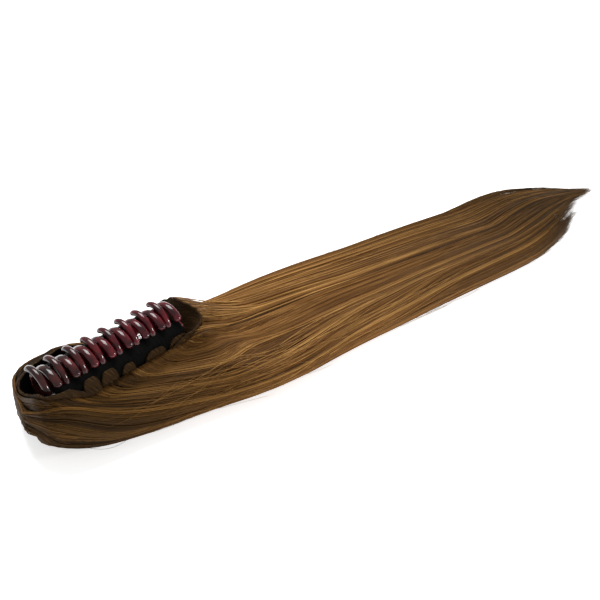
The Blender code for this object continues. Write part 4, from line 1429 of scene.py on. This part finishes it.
def tubes(paths, thickness):
    """The points and faces of closed tubes along paths, all with the same number of points."""
    count, steps, _ = paths.shape
    ahead = np.gradient(paths, axis=1)
    ahead /= np.linalg.norm(ahead, axis=2, keepdims=True)
    side = np.cross(ahead[:, 0], [0.1, 0.3, 0.95])
    rings = []
    for step in range(steps):
        side = side - ahead[:, step] * np.sum(side * ahead[:, step], axis=1, keepdims=True)
        side /= np.linalg.norm(side, axis=1, keepdims=True)
        other = np.cross(ahead[:, step], side)
        corners = [
            paths[:, step] + thickness[:, step, None] * (math.cos(turn) * side + math.sin(turn) * other)
            for turn in 2 * np.pi * np.arange(STRAND_SIDES) / STRAND_SIDES
        ]
        rings.append(np.stack(corners, axis=1))
    points = np.stack(rings, axis=1).reshape(-1, 3)
    corner = np.arange(count * steps * STRAND_SIDES).reshape(count, steps, STRAND_SIDES)
    following = np.roll(corner, -1, axis=2)
    walls = np.stack([corner[:, :-1], following[:, :-1], following[:, 1:], corner[:, 1:]], axis=-1)
    roots = corner[:, 0, ::-1]
    tips = corner[:, -1]
    return points, walls.reshape(-1, 4).tolist() + roots.tolist() + tips.tolist()


def make_hair_strands(material):
    """All the strands of the hair."""
    random = np.random.default_rng(SEED)
    near = list(near_wrap(random))
    near += left_rim(random)
    near += rim_locks(LOCKS["near_rim"], NEAR_WRAP_PART, near_share, near_root, random)
    far = list(far_wrap(random))
    far += rim_locks(LOCKS["far_rim"], FAR_WRAP_PART, far_share, far_root, random)
    make_strands("near_strands", near, STRAND_STEPS, STRAND_RADIUS, random, material)
    make_strands("ear_strands", list(ear_locks(random)), STRAND_STEPS, STRAND_RADIUS, random, material)
    make_strands("far_strands", far, STRAND_STEPS, STRAND_RADIUS, random, material)
    loose = list(crossing_strands(random)) + list(flyaways(random))
    make_strands("loose_strands", loose, SHORT_STRAND_STEPS, STRAY_RADIUS, random, material)


# The scene round it

def add_floor():
    """The paper under the hairpiece."""
    deselect_all()
    bpy.ops.mesh.primitive_plane_add(size=FLOOR_SIZE)
    floor = newest("paper_floor")
    floor.data.materials.append(pale_paper())
    floor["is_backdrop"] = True


def add_area_light(name, place, size, power, target=(0.12, -0.02, 0.0)):
    """A soft light that faces a place on the hairpiece."""
    light = bpy.data.lights.new(name, "AREA")
    light.size = size
    light.energy = power
    lamp = bpy.data.objects.new(name, light)
    lamp.location = place
    lamp.rotation_euler = (Vector(place) - Vector(target)).to_track_quat("Z", "Y").to_euler()
    bpy.context.scene.collection.objects.link(lamp)


def add_camera():
    """The photograph's view."""
    azimuth, elevation = math.radians(CAMERA_AZIMUTH), math.radians(CAMERA_ELEVATION)
    back = Vector(
        (
            math.sin(azimuth) * math.cos(elevation),
            -math.cos(azimuth) * math.cos(elevation),
            math.sin(elevation),
        )
    )
    right = Vector((math.cos(azimuth), math.sin(azimuth), 0))
    turn = Matrix((right, back.cross(right), back)).transposed()
    data = bpy.data.cameras.new("photo_camera")
    data.lens = CAMERA_LENS
    data.sensor_width = SENSOR_WIDTH
    camera = bpy.data.objects.new("photo_camera", data)
    camera.matrix_world = Matrix.Translation(CAMERA_PLACE) @ turn.to_4x4()
    bpy.context.scene.collection.objects.link(camera)
    bpy.context.scene.camera = camera


def set_world():
    """Even white light from all round."""
    world = bpy.data.worlds.new("white_room")
    world.use_nodes = True
    background = world.node_tree.nodes["Background"]
    background.inputs["Color"].default_value = linear("#ffffff")
    background.inputs["Strength"].default_value = WORLD_STRENGTH
    scene = bpy.context.scene
    scene.world = world
    scene.view_settings.view_transform = "Standard"
    scene.view_settings.look = "None"


def write_sizes():
    """Gather the solids' box and the visual model's box as plain lists; they are not written or compared."""
    boxes = {"cad": CAD_BOX, "visual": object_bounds()}
    plain = {name: [list(corner) for corner in box] for name, box in boxes.items()}


def build():
    """Make every piece, then the light and the camera."""
    acetate, net, weft = moulded_acetate(), nylon_net(), weft_fibre("brown_weft_fibre", *WEFT_COLOURS)
    make_jaw("near_jaw_moulding", "near_jaw", -1, "hairpiece", acetate)
    make_jaw("far_jaw_moulding", "far_jaw", 1, "opening_jaw", acetate)
    make_hinge(spring_steel())
    make_net("near_net_cloth", "near_net", -1, "hairpiece", net)
    make_net("far_net_cloth", "far_net", 1, "opening_jaw", net)
    # the net also paints the shade inside the hollow on the weft and the hair
    make_weft_band(weft, net)
    for index, tab in enumerate(WEFT_TABS, start=1):
        make_weft_tab(index, tab, weft)
    make_hair_mass(hair_mass(), net)
    make_hair_strands(hair_fibre())
    add_floor()
    add_area_light("key_light", *KEY_LIGHT)
    add_area_light("low_light", *LOW_LIGHT)
    set_world()
    add_camera()
    write_sizes()


build()
